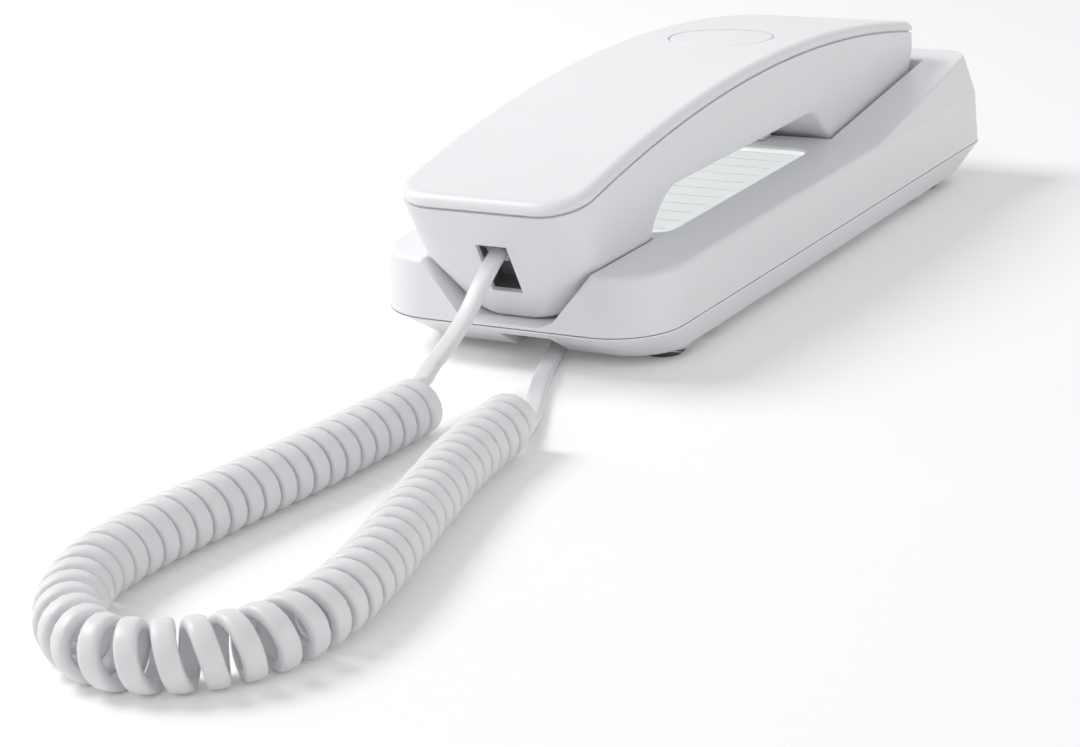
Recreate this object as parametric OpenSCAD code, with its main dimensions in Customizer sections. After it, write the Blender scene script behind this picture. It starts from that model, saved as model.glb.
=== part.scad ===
// Slimline wall phone: a low base with a wedge-shaped rear, a bowed handset
// with its keypad on the inner face, and a curly cord between the two.
// Millimetres. X is the width, +Y points to the earpiece end, +Z is up.
// The origin is on the floor, in the middle of the overall length.

/* [Base] */
// Length of the base at its parting line
base_len = 226.2; // [215:0.2:235]
// Width of the base at its parting line
base_w = 80.8; // [78:0.2:88]
// How far each side leans out from the parting line to the edge of the deck
deck_flare = 0.4; // [0:0.1:1]
// How far each side is drawn in from the parting line to the top of the ramp
ramp_draw = 2.5; // [1:0.1:4]
// Height of the parting line between the two base shells
parting_z = 11; // [10.8:0.1:11.4]
// Height of the deck at its front edge
deck_front_z = 26.4; // [25:0.1:28]
// Height of the deck where the ramp starts
deck_rear_z = 28; // [27:0.1:29]
// Height of the top of the ramp
ramp_top_z = 39.4; // [37:0.1:42]
// Length of the ramp
ramp_len = 76.6; // [70:0.2:84]
// Distance from the top of the ramp to the rear end
ramp_setback = 7.3; // [5:0.1:10]
// Corner radius at the front of the base, seen from above
front_r = 17; // [14:0.1:19]
// Corner radius at the rear of the base, seen from above
rear_r = 5; // [4:0.1:8]
// Wall of the base shells
base_wall = 1.8; // [1.5:0.1:2.4]
// Thickness of the deck
deck_t = 2.4; // [2.2:0.1:3]

/* [Underside] */
// Height of the underside above the floor
foot_gap = 2.2; // [1.8:0.1:2.6]
// How far the underside is drawn in at the front
under_front = 15; // [10:0.5:17]
// How far the underside is drawn in at the rear
under_rear = 9; // [6:0.5:11]
// How far the underside is drawn in at each side
under_side = 4.5; // [3:0.1:6]
// Diameter of a rubber foot
foot_d = 11; // [8:0.5:12]
// Depth of the recess that a foot is glued into
foot_recess = 0.4; // [0.3:0.1:0.8]
// Distance between the two keyholes for wall screws
keyhole_pitch = 100; // [96:1:102]
// Entry hole of a keyhole, for the head of the wall screw
keyhole_head_d = 8.5; // [8:0.1:9.5]
// Slot of a keyhole, for the neck of the wall screw
keyhole_neck_w = 4.2; // [3.8:0.1:5]

/* [Handset] */
// Distance from the rear of the handset to the rear end of the base
tail_gap = 17.9; // [16:0.1:22]
// Width of the handset at its parting line
handset_w = 51.4; // [50:0.2:54]
// How far the handset reaches past the front of the base
overhang = 9.4; // [7:0.1:12]
// Length of the mouthpiece at its foot
mouth_len = 43.6; // [40:0.1:46]
// Length of the earpiece's underside
ear_len = 59.7; // [56:0.1:62]
// Length over which the arch turns down to the earpiece
arch_run = 15.7; // [12:0.1:18]
// Radius of the bow of the handset's back
bow_r = 505; // [480:1:560]
// Height of the top of the bow, at the handset's parting line
bow_z = 56.5; // [55:0.1:58]
// Depth of the cover's rim, from the parting line to its top
cover_h = 3.2; // [2.8:0.1:4]
// Thickness of the cover
cover_t = 1.6; // [1.4:0.1:1.8]
// Wall of the handset shell
shell_wall = 1.8; // [1.6:0.1:2]
// Front corner radius of the handset, seen from above
handset_r = 11; // [8:0.1:12]
// Rear corner radius of the handset, seen from above
tail_r = 4; // [3:0.1:6]
// Height of the inner face under the arch
arch_z = 38.3; // [37.5:0.1:39]
// Height of the bottom of the mouthpiece
nose_z = 12.5; // [12.4:0.1:13.5]
// Diameter of the round inlay on the cover
inlay_d = 29.6; // [26:0.2:32]
// Depth of the round inlay
inlay_t = 0.8; // [0.6:0.1:1]
// Distance from the rear of the handset to the middle of the inlay
inlay_setback = 38.9; // [34:0.1:42]
// Distance from the rear of the handset to the middle of the receiver
receiver_setback = 33.9; // [32:0.1:36]
// Distance from the front of the handset to the microphone
mic_setback = 26.8; // [24:0.1:30]

/* [Fits] */
// Gap between the resting handset and the base
seat_gap = 0.3; // [0.25:0.05:0.4]
// Gap round a moving plastic part
slide_gap = 0.3; // [0.25:0.05:0.4]
// Gap round a part that is laid into a recess
lay_gap = 0.2; // [0.15:0.05:0.3]

/* [Index card] */
// Width of the index card
card_w = 48.6; // [44:0.2:50]
// Distance from the mouthpiece's foot to the card
card_front_gap = 6.8; // [5:0.1:9]
// Distance from the card to the foot of the ramp
card_rear_gap = 10.5; // [9:0.1:12]
// Thickness of the index card
card_t = 0.3; // [0.2:0.05:0.4]
// Thickness of the clear window over the card
window_t = 0.7; // [0.6:0.05:0.8]
// Corner radius of the card
card_r = 5; // [3:0.5:7]

/* [Keypad] */
// Width of a key
key_w = 11.5; // [10:0.1:12]
// Length of a key
key_l = 8; // [7:0.1:9]
// Distance between keys across the handset
key_pitch_x = 15; // [14.6:0.1:15.2]
// Distance between keys along the handset
key_pitch_y = 14; // [13:0.1:14.2]
// How far a key stands out of the inner face
key_proud = 1.1; // [0.8:0.1:1.4]
// Distance from the middle of the first row of keys to the turn of the arch
key_setback = 10.5; // [9:0.1:12]
// Travel of a key
key_travel = 1.2; // [1:0.1:1.4]
// Rim of a key that keeps it in the shell
key_rim = 1; // [0.8:0.1:1.2]

/* [Switches] */
// Diameter of the hook switch plunger
hook_d = 7; // [6:0.1:8]
// Travel of the hook switch plunger
hook_travel = 3.5; // [3:0.1:4]
// Width of the tab that holds the handset on a wall
tab_w = 15; // [12:0.5:18]
// Travel of the ringer switch
ringer_travel = 5; // [4:0.5:6]

/* [Jacks] */
// Width of a handset cord plug
plug_w = 7.6; // [7.5:0.05:7.7]
// Height of a handset cord plug
plug_h = 6.6; // [6.5:0.05:6.7]
// Length of a handset cord plug
plug_l = 11.7; // [11.5:0.1:12]
// Width of a line cord plug
line_plug_w = 9.6; // [9.5:0.05:9.7]
// Gap round a plug in its jack
plug_gap = 0.15; // [0.1:0.05:0.2]

/* [Cord] */
// Width of the flat cord
cord_w = 5; // [4.6:0.1:5.4]
// Thickness of the flat cord
cord_t = 2.8; // [2.4:0.1:3]
// Outer diameter of the curls
curl_d = 14; // [12:0.5:15]

/* [Screws] */
// Diameter of a screw's head
head_d = 5.4; // [5:0.1:5.8]
// Height of a screw's head
head_h = 2.2; // [2:0.1:2.4]
// Diameter of a screw's shank
shank_d = 2.8; // [2.5:0.1:3]
// Outer diameter of a screw boss
boss_d = 7.6; // [7.2:0.1:8]

/* [Hidden] */
$fn = 48;
eps = 0.01;
white = [0.93, 0.93, 0.94];
dark_grey = [0.25, 0.25, 0.27];

// Places along Y
y_nose = -(base_len + overhang) / 2;       // front of the handset
y_front = y_nose + overhang;               // front of the base
y_rear = y_front + base_len;               // rear of the base
y_tail = y_rear - tail_gap;                // rear of the handset
y_top = y_rear - ramp_setback;             // top of the ramp
y_ramp = y_top - ramp_len;                 // foot of the ramp
function ceiling_z(y) = (y < y_ramp
  ? deck_rear_z - (y_ramp - y) * (deck_rear_z - deck_front_z) / (y_ramp - y_front)
  : deck_rear_z + (y - y_ramp) * ramp_slope) - deck_t;
deck_pitch = atan((deck_rear_z - deck_front_z) / (y_ramp - y_front));
ramp_slope = (ramp_top_z - deck_rear_z) / ramp_len;

// Widths of the base, worked out from its width at the parting line
deck_w = base_w + 2 * deck_flare;
ramp_w = base_w - 2 * ramp_draw;

// Bow of the handset's back
bow_y = (y_nose + y_tail) / 2 + 9.95;
bow_axis_z = bow_z - bow_r;

// Mouthpiece: its front face leans back, its sides close to a keel
nose_lean = 28;                            // front face, from the vertical
side_z = 27.4;                             // where the sides turn inwards
keel_z = nose_z + 1.7;
side_hw = handset_w / 2 - 1.9;
keel_hw = 13.2;
sole_hw = 9.5;
cheek_z = 42.6;                            // top of the front face
function nose_y(z) = y_nose + (cheek_z - z) * tan(nose_lean);

// Arch and earpiece, in side view
arch_front = y_nose + mouth_len;           // inner face of the mouthpiece
ear_front = y_tail - ear_len;              // front foot of the earpiece
arch_rear = ear_front - arch_run;          // where the arch turns down
ear_slope = 0.07;
cradle_front_z = 25.3;
function cradle_z(y) = cradle_front_z + (y - ear_front) * ear_slope;
ear_z = cradle_front_z + seat_gap;
ear_lean = arch_run / (arch_z - ear_z);

// Base cavity, boards and fasteners
floor_z = foot_gap + base_wall;
board_t = 1.6;
jack_z = 8.4;
jack_wall = 1.3;
board_z = jack_z + plug_h / 2 + jack_wall;
board_top = board_z + board_t;
screw_seat_z = foot_gap + 4;
boss_z = screw_seat_z + 2;
screw_xy = [[-31.5, -62], [31.5, -62], [-31.5, 78], [31.5, 78]];
foot_xy = [[-29, -80], [29, -80], [-28, 96], [28, 96]];
post_xy = [[-22, -34], [22, -34], [-22, 54], [22, 54]];
post_d = 6;
pin_d = 2.4;

// Cord jack under the front of the base
bay_rear = -58;
bay_front = arch_front + base_wall + 3;
bay_x = plug_w / 2 + 3;
jack_front = bay_rear + 1.7;
channel_top = 8;
channel_x0 = -5;
channel_x1 = 9.5;

// Line jack under the rear of the base
line_x = -16;
line_bay_y = 76;
line_bay_rear = 90;
line_jack_l = 14;

// Keyholes, on the centreline
keyhole_top_y = 100;
keyhole_slide = 8;

// Hook switch, in the cradle
hook_y = 58;
hook_hole = hook_d + 2 * slide_gap;
hook_top = cradle_z(hook_y - hook_d / 2) - 0.1;
hook_flange_top = cradle_z(hook_y - hook_d) - base_wall - hook_travel - 0.2;
hook_flange_h = 1.2;
hook_body_top = hook_flange_top - hook_flange_h - 0.5;
hook_stem_d = 4;

// Ringer and ballast, on the floor of the base
ringer_y = 36;
ringer_d = 28;
ringer_h = 6;
ballast = [36, 24, 5];
ballast_y = -26.5;

// Ringer switch, in the left wall
switch_y = 52;
switch_z = 19;
switch_knob = [6, 3];
switch_x = -base_w / 2 - deck_flare * (switch_z - parting_z + 1) / (side_z - parting_z + 1);

// Index card and window, laid into the deck
card_len = y_ramp - card_rear_gap - arch_front - card_front_gap;
card_y = y_ramp - card_rear_gap - card_len / 2;
recess_t = card_t + window_t + 0.1;
deck_card_z = deck_rear_z - (y_ramp - card_y) * tan(deck_pitch);

// Wall tab, in front of the earpiece
tab_l = 6;
tab_y = y_ramp - tab_l - 0.1;
tab_h = 2.6;
tab_peg = 4;

// Handset parts
shell_floor = arch_z + shell_wall;
key_cap_h = key_proud + shell_wall;
key_rim_h = 0.9;
membrane_z = shell_floor + key_rim_h + key_travel + 0.2;
membrane_t = 1;
hboard_z = membrane_z + membrane_t;
key_row_y = arch_rear - key_setback;
key_rows = 5;
keypad_w = 46;
rib_x = key_pitch_x + key_w / 2 + key_rim + slide_gap;
membrane_l = (key_rows - 1) * key_pitch_y + 2 * key_l;
membrane_y = key_row_y + 10 - membrane_l;
handset_screw_y = [arch_front + 18.2, y_tail - 12];
cover_wall = shell_wall + 0.4;
receiver_y = y_tail - receiver_setback;
receiver_d = 30;
receiver_h = 7;
receiver_ring_z = cradle_z(receiver_y - receiver_d / 2 - 1.5) + seat_gap + 0.6;
receiver_seat_z = cradle_z(receiver_y) + shell_wall + 2.8;
gasket_t = 0.8;
mic_y = y_nose + mic_setback;
mic_d = 9.7;
mic_boot_d = 11.6;
mic_boot_h = 6.5;
inlay_y = y_tail - inlay_setback;

// Handset jack, square to the front face
socket_z = 29.5;
socket_y = nose_y(socket_z);
plug_set = 3;                              // plug behind the front face

// Route of the cord from the handset to the curls
lead_route = [[0, -108.2, 30.9], [0, -112.6, 28.5], [0, -119, 24.2], [0, -126, 19],
              [0, -135, 14.6], [0.5, -143, 12.2], [2, -149, 11], [2.8, -152.3, 10.6]];
// Route of the curls along the floor
curl_route = [[4, -153, 7], [3.5, -170, 7], [2, -194, 7], [-1, -218, 7], [-3.5, -242, 7],
              [-3.5, -260, 7], [0, -272, 7], [6.5, -283, 7], [14, -290, 7], [23, -294, 7],
              [33, -292.5, 7], [42, -286.5, 7], [48, -277, 7], [50, -266, 7], [49.5, -253, 7],
              [46, -236, 7], [39, -210, 7], [32.5, -182, 7], [29.5, -157, 7]];
// Route of the cord from the curls to the base
base_lead_route = [[29.4, -156.3, 4.9], [28.5, -150, 2.8], [25, -140, 1.7], [18, -125, 1.6],
                   [12, -111, 1.6], [8, -100, 1.6], [5, -91, 1.8], [2.6, -83, 2.8],
                   [1, -76, 4.4], [0, -69, 6.4], [0, -64, 7.9], [0, -60.1, 8.4]];

// ---- shared forms ----------------------------------------------------------

// Four upright corner posts: one level of a lofted shell
module level(z, hw, y0, y1, rf, rr) {
  for (s = [-1, 1]) {
    translate([s * (hw - rf), y0 + rf, z]) cylinder(r = rf, h = eps, $fn = 32);
    translate([s * (hw - rr), y1 - rr, z]) cylinder(r = rr, h = eps, $fn = 32);
  }
}

// Rounded rectangle, from y0 to y1
module rounded(w, y0, y1, r) {
  translate([-w / 2, y0 + r]) square([w, y1 - y0 - 2 * r]);
  translate([-w / 2 + r, y0]) square([w - 2 * r, y1 - y0]);
  for (x = [-w / 2 + r, w / 2 - r], y = [y0 + r, y1 - r]) translate([x, y]) circle(r);
}

// Handset seen from above, drawn in by t
module handset_plan(t) {
  hw = handset_w / 2 - t;
  translate([-hw, y_nose + handset_r]) square([2 * hw, y_tail - tail_r - y_nose - handset_r]);
  for (end = [[y_nose + t, 1, handset_r - t], [y_tail - t, -1, tail_r - t / 2]])
    translate([0, end.x]) scale([1, end.y]) {
      translate([-hw + end.z, 0]) square([2 * (hw - end.z), handset_r]);
      for (s = [-1, 1]) translate([s * (hw - end.z), end.z]) circle(end.z);
      translate([-hw, end.z]) square([2 * hw, handset_r - end.z + 1]);
    }
}

// Stand a side view (y, z) up and give it the width w
module side_view(w) {
  translate([-w / 2, 0, 0]) rotate([90, 0, 90]) linear_extrude(w) children();
}

// Everything of the base above the parting line, drawn in by t
module base_form(t) {
  hull() {
    level(parting_z - 1, base_w / 2 - t, y_front + t, y_rear - t, front_r - t, rear_r - t);
    level(side_z, deck_w / 2 - t, y_front + 1.5 + t, y_rear - 3 - t,
          front_r + 0.8 - t, rear_r + 1 - t);
    level(ramp_top_z + 2, ramp_w / 2 - t, y_front + 3 + t, y_rear - 6 - t,
          front_r + 0.8 - t, rear_r + 2.5 - t);
  }
}

// Side view of the deck and the ramp, lowered by t, down to the parting line
module deck_view(t) {
  polygon([[y_front - 5, parting_z], [y_front - 5, deck_front_z - t],
           [y_ramp, deck_rear_z - t], [y_top, ramp_top_z - t],
           [y_rear + 5, ramp_top_z + 0.4 - t], [y_rear + 5, parting_z]]);
}

// The handset before the arch is cut, drawn in by t, with its front moved ahead
module handset_form(t, ahead = 0) {
  hw = handset_w / 2 - t;
  f = t - ahead;
  hull() {
    level(nose_z + t, sole_hw - t / 2, nose_y(nose_z + t) + f, nose_y(nose_z) + 20 - t, 5, 5);
    level(keel_z + t, keel_hw - t, nose_y(keel_z + t) + f, nose_y(keel_z) + 24 - t, 6, 6);
    level(side_z, side_hw - t, nose_y(side_z) + f, y_tail - 1.4 - t,
          handset_r - 2 - t, tail_r - t / 2);
    level(cheek_z, hw - 0.1, y_nose + f, y_tail - 0.1 - t, handset_r - t, tail_r - t / 2);
    level(bow_z + 8, hw, y_nose - 0.1 + f, y_tail - t, handset_r - t, tail_r - t / 2);
  }
}

// Side view of what is cut from under the handset, grown by t
module arch_view(t) {
  offset(delta = t) offset(r = -3) offset(r = 17) offset(delta = -14)
    polygon([[arch_front, -40], [arch_front, arch_z], [arch_rear, arch_z],
             [ear_front, ear_z], [y_tail + 40, ear_z + (y_tail + 40 - ear_front) * ear_slope],
             [y_tail + 40, -40]]);
}

// Height of the bow at y, at d above the handset's parting line
function bow_at(y, d) = bow_axis_z + sqrt(pow(bow_r + d, 2) - pow(y - bow_y, 2));

// Everything under the bow, at d above the handset's parting line
module bow(d) {
  y0 = y_nose - 8;
  y1 = y_tail + 8;
  side_view(120)
    polygon([[y0, -60], for (i = [0 : 24]) let (y = y0 + (y1 - y0) * i / 24) [y, bow_at(y, d)],
             [y1, -60]]);
}

// Bed of the resting handset's front half, with the gap g, open at the front of the base
module nose_bed(g, y_end) {
  intersection() {
    handset_form(-g, 20);
    translate([-50, y_nose - 20, 0]) cube([100, y_end - y_nose + 20, 100]);
  }
}

// Cradle for the earpiece: sloped sides, with the gap g all round
module cradle(g) {
  intersection() {
    side_view(100)
      polygon([[ear_front - 1.2 - g, cradle_z(ear_front) - g],
               [y_tail + 1.7 + g, cradle_z(y_tail) - g], [y_tail + 2.3 + g, arch_z + 20],
               [arch_rear - 1.2 - g - 20 * ear_lean, arch_z + 20],
               [arch_rear - 1.2 - g, arch_z - seat_gap - g]]);
    rotate([90, 0, 0]) translate([0, 0, -y_rear]) linear_extrude(base_len)
      polygon([[-side_hw - 0.3 - g, 24 - g], [side_hw + 0.3 + g, 24 - g],
               [side_hw + 4.7 + g, 46], [-side_hw - 4.7 - g, 46]]);
  }
}

// Lay a flat part on the sloping deck, at the middle of the card
module on_deck() {
  translate([0, card_y, deck_card_z]) rotate([deck_pitch, 0, 0]) children();
}

// Frame of the handset jack: +Y points into the handset
module at_socket() {
  translate([0, socket_y, socket_z]) rotate([nose_lean, 0, 0]) children();
}

// Modular jack: a body from y = 0 to l with a hole for a plug of width w
module jack_body(w, l, below, hole_l) {
  difference() {
    translate([-w / 2 - jack_wall, 0, -below])
      cube([w + 2 * jack_wall, l, below + plug_h / 2 + jack_wall]);
    translate([-w / 2 - plug_gap, -eps, -plug_h / 2 - plug_gap])
      cube([w + 2 * plug_gap, hole_l, plug_h + 2 * plug_gap]);
  }
}

// Modular plug, pointing to +Y, with its latch underneath
module plug() {
  difference() {
    translate([-plug_w / 2, 0, -plug_h / 2]) cube([plug_w, plug_l, plug_h]);
    for (i = [-1.5 : 1.5])
      translate([i * 1.27 - 0.3, plug_l - 4, plug_h / 2 - 1.2]) cube([0.6, 5, 2]);
    translate([-plug_w, -eps, -plug_h / 2 - eps]) cube([plug_w - 1.6, plug_l - 2, 1.1]);
    translate([1.6, -eps, -plug_h / 2 - eps]) cube([plug_w, plug_l - 2, 1.1]);
  }
}

// Self-tapping screw, head down, its seat at z = 0
module screw(l) {
  difference() {
    translate([0, 0, -head_h]) cylinder(d = head_d, h = head_h);
    translate([0, 0, -head_h - eps]) cylinder(d = 2.4, h = 1.2, $fn = 6);
  }
  cylinder(d = shank_d, h = l);
}

// Closed skin over a list of rings, each with the same number of points
module loft(rings) {
  m = len(rings);
  n = len(rings[0]);
  polyhedron([for (r = rings) each r],
    concat([[for (k = [0 : n - 1]) k]], [[for (k = [n - 1 : -1 : 0]) (m - 1) * n + k]],
      [for (i = [0 : m - 2], k = [0 : n - 1]) let (a = i * n + k, b = i * n + (k + 1) % n)
        each [[a, a + n, b + n], [a, b + n, b]]]));
}

// Tube of oval section along a route, rx wide and rz high
function unit(v) = v / norm(v);
function heading(p, i) = unit(p[min(i + 1, len(p) - 1)] - p[max(i - 1, 0)]);
function side_of(p, i) = unit(cross([0, 0, 1], heading(p, i)));
function ring(p, i, rx, rz, n) = [for (k = [0 : n - 1]) let (a = 360 * (k + 0.5) / n)
  p[i] + rx * cos(a) * side_of(p, i) + rz * sin(a) * cross(heading(p, i), side_of(p, i))];
module tube(route, rx, rz, n) {
  loft([for (i = [0 : len(route) - 1]) ring(route, i, rx, rz, n)]);
}

// ---- base ------------------------------------------------------------------

module base_upper_housing() color(white) {
  difference() {
    union() {
      difference() {
        intersection() {
          base_form(0);
          side_view(120) deck_view(0);
        }
        difference() {
          intersection() {
            base_form(base_wall);
            side_view(120) translate([0, -5]) deck_view(deck_t - 5);
          }
          nose_bed(seat_gap + base_wall, arch_front + 1.4 + base_wall);
          cradle(base_wall);
        }
      }
      for (p = screw_xy) translate([p.x, p.y, boss_z])
        cylinder(d = boss_d, h = ceiling_z(p.y) + 0.8 - boss_z);
    }
    nose_bed(seat_gap, arch_front + 1.4);
    cradle(0);
    for (p = screw_xy) translate([p.x, p.y, boss_z - eps])
      cylinder(d = shank_d + 0.2, h = 13);
    on_deck() translate([0, 0, -recess_t]) linear_extrude(5)
      rounded(card_w + 2 * lay_gap, -card_len / 2 - lay_gap, card_len / 2 + lay_gap,
              card_r + lay_gap);
    translate([0, hook_y, 15]) cylinder(d = hook_hole, h = 20);
    translate([-tab_w / 2 + 2 - lay_gap, tab_y + 1 - lay_gap, deck_rear_z - tab_peg - 1])
      cube([tab_w - 4 + 2 * lay_gap, tab_l - 2 + 2 * lay_gap, tab_peg + 3]);
    translate([switch_x - 3, switch_y - switch_knob.x / 2 - slide_gap,
               switch_z - switch_knob.y / 2 - slide_gap])
      cube([7, switch_knob.x + ringer_travel + 2 * slide_gap, switch_knob.y + 2 * slide_gap]);
  }
}

// Loft of the lower shell from its underside at z up to its rim, which rise lifts;
// its sides, front and rear are drawn in
module under_form(z, side, front, rear, rise) {
  hull() {
    level(parting_z - eps + rise, base_w / 2 - side, y_front + front, y_rear - rear,
          front_r - side, rear_r - side);
    level(z, base_w / 2 - under_side - side, y_front + under_front + front / 2,
          y_rear - under_rear - rear, front_r - 3.6 - side, rear_r + 1 - side);
  }
}

module keyhole(y) {
  translate([0, y - keyhole_slide, 0]) cylinder(d = keyhole_head_d, h = floor_z + 1);
  translate([-keyhole_neck_w / 2, y - keyhole_slide, 0])
    cube([keyhole_neck_w, keyhole_slide, floor_z + 1]);
  translate([0, y, 0]) cylinder(d = keyhole_neck_w, h = floor_z + 1);
}

// Open bay for a plug and the channel of its cord
module cord_bay(g) {
  translate([-bay_x - g, bay_front - g, 0])
    cube([2 * (bay_x + g), bay_rear - bay_front + g, jack_z + plug_h / 2 + 0.8 + g]);
  translate([channel_x0 - g, y_front - 5, 0])
    cube([channel_x1 - channel_x0 + 2 * g, bay_front - y_front + 6, channel_top + g]);
}

module line_bay(g) {
  translate([line_x - line_plug_w / 2 - 2 - g, line_bay_y, 0])
    cube([line_plug_w + 4 + 2 * g, line_bay_rear - line_bay_y + g,
          jack_z + plug_h / 2 + 0.8 + g]);
  translate([line_x - 3.5 - g, line_bay_rear - 1, 0])
    cube([7 + 2 * g, y_rear - line_bay_rear + 5, 6 + g]);
}

module base_lower_housing() color(white) {
  difference() {
    union() {
      difference() {
        under_form(foot_gap, 0, 0, 0, 0);
        under_form(floor_z, base_wall, 3.4, base_wall, 2 * eps);
      }
      intersection() {
        union() {
          cord_bay(1.6);
          line_bay(1.6);
          translate([-bay_x - 1.6, bay_rear - eps, 0])
            cube([2 * bay_x + 3.2, 1.6, jack_z + plug_h / 2 + 2.4]);
          translate([line_x - line_plug_w / 2 - 3.6, line_bay_y - 1.6, 0])
            cube([line_plug_w + 7.2, 1.6 + eps, jack_z + plug_h / 2 + 2.4]);
        }
        union() {
          under_form(foot_gap, 0, 0, 0, 0);
          translate([-30, arch_front + base_wall + 1.7, parting_z - 1]) cube([60, 168, 5]);
        }
      }
      for (p = screw_xy) translate([p.x, p.y, foot_gap + eps])
        cylinder(d = boss_d, h = boss_z - foot_gap - eps);
      for (p = post_xy) translate([p.x, p.y, foot_gap + eps]) {
        cylinder(d = post_d, h = board_z - foot_gap - eps);
        cylinder(d = pin_d, h = board_top + 1 - foot_gap);
      }
      translate([0, ringer_y, floor_z - eps]) difference() {
        cylinder(d = ringer_d + 4, h = 4);
        translate([0, 0, -1]) cylinder(d = ringer_d + 2 * lay_gap, h = 6);
      }
      for (s = [-1, 1]) {
        translate([s * (ballast.x / 2 + lay_gap + 0.8) - 0.8, ballast_y - 9, floor_z - eps])
          cube([1.6, 18, 4]);
        translate([-9, ballast_y + s * (ballast.y / 2 + lay_gap + 0.8) - 0.8, floor_z - eps])
          cube([18, 1.6, 4]);
      }
    }
    cord_bay(0);
    line_bay(0);
    translate([-plug_w / 2 - 0.4, bay_rear - 1, jack_z - plug_h / 2 - 0.4])
      cube([plug_w + 0.8, 4, plug_h + 0.8]);
    translate([line_x - line_plug_w / 2 - 0.4, line_bay_y - 3, jack_z - plug_h / 2 - 0.4])
      cube([line_plug_w + 0.8, 4, plug_h + 0.8]);
    for (p = screw_xy) translate([p.x, p.y, 0]) {
      cylinder(d = head_d + 0.6, h = screw_seat_z);
      cylinder(d = shank_d + 0.4, h = boss_z + 1);
    }
    for (p = foot_xy) translate([p.x, p.y, 0])
      cylinder(d = foot_d + 2 * lay_gap, h = foot_gap + foot_recess);
    keyhole(keyhole_top_y);
    keyhole(keyhole_top_y - keyhole_pitch);
    for (a = [0 : 60 : 300]) translate([0, ringer_y, 0]) rotate(a) translate([8, 0, 0])
      cylinder(d = 2, h = floor_z + 1);
    translate([0, ringer_y, 0]) cylinder(d = 2, h = floor_z + 1);
  }
}

module rubber_feet() color(dark_grey) {
  for (p = foot_xy) translate([p.x, p.y, 0]) rotate_extrude()
    polygon([[0, 0], [foot_d / 2 - 0.8, 0], [foot_d / 2, 0.8],
             [foot_d / 2, foot_gap + foot_recess], [0, foot_gap + foot_recess]]);
}

module base_screws() color("silver") {
  for (p = screw_xy) translate([p.x, p.y, screw_seat_z]) screw(12);
}

module base_circuit_board() color("darkgreen") {
  difference() {
    translate([-27, jack_front, board_z]) cube([54, line_bay_y - 2.3 - jack_front, board_t]);
    for (p = post_xy) translate([p.x, p.y, board_z - 1]) cylinder(d = pin_d + 0.4, h = 4);
  }
}

module ringer() color("goldenrod") {
  translate([0, ringer_y, floor_z]) difference() {
    cylinder(d = ringer_d, h = ringer_h);
    translate([0, 0, -eps]) cylinder(d = ringer_d - 6, h = 1.2);
    translate([0, 0, ringer_h - 1]) cylinder(d = 4, h = 2);
  }
}

module ballast_weight() color("slategray") {
  translate([-ballast.x / 2, ballast_y - ballast.y / 2, floor_z]) cube(ballast);
}

module base_cord_jack() color(dark_grey) {
  translate([0, jack_front, jack_z]) jack_body(plug_w, 15, jack_z - floor_z, plug_l - 1.5);
}

module line_jack() color(dark_grey) {
  translate([line_x, line_bay_y - 1.7, jack_z]) rotate(180)
    jack_body(line_plug_w, line_jack_l, jack_z - floor_z, 11);
}

module hook_switch_body() color("black") {
  translate([0, hook_y, board_top]) difference() {
    translate([-7, -7, 0]) cube([14, 14, hook_body_top - board_top]);
    translate([0, 0, -1]) cylinder(d = hook_stem_d + 2 * slide_gap, h = 10);
  }
}

module hook_switch_plunger() color(white) {
  translate([0, hook_y, 0]) {
    translate([0, 0, board_top + 0.6])
      cylinder(d = hook_stem_d, h = hook_flange_top - board_top - 1);
    translate([0, 0, hook_flange_top - hook_flange_h]) cylinder(d = hook_d + 3, h = hook_flange_h);
    translate([0, 0, hook_flange_top - eps]) cylinder(d = hook_d, h = hook_top - hook_flange_top);
  }
}

module ringer_switch() color(dark_grey) {
  translate([switch_x - 0.1, switch_y - switch_knob.x / 2, switch_z - switch_knob.y / 2])
    cube([base_wall + 0.6, switch_knob.x, switch_knob.y]);
  translate([switch_x + base_wall + slide_gap, switch_y - switch_knob.x / 2 - 4,
             switch_z - switch_knob.y / 2 - 2.5])
    cube([1.4, switch_knob.x + 8, switch_knob.y + 5]);
}

module wall_tab() color(white) {
  translate([-tab_w / 2, tab_y, deck_rear_z]) hull() {
    cube([tab_w, tab_l, 0.8]);
    translate([1, 1.2, tab_h - 0.4]) cube([tab_w - 2, tab_l - 1.6, 0.4]);
  }
  translate([-tab_w / 2 + 2, tab_y + 1, deck_rear_z - tab_peg])
    cube([tab_w - 4, tab_l - 2, tab_peg + 0.4]);
}

module index_card() color("white") {
  on_deck() translate([0, 0, -recess_t]) linear_extrude(card_t)
    rounded(card_w, -card_len / 2, card_len / 2, card_r);
}

module index_window() color([0.9, 0.95, 0.95, 0.4]) {
  on_deck() translate([0, 0, card_t - recess_t]) linear_extrude(window_t)
    rounded(card_w, -card_len / 2, card_len / 2, card_r);
}

// ---- handset ---------------------------------------------------------------

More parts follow.
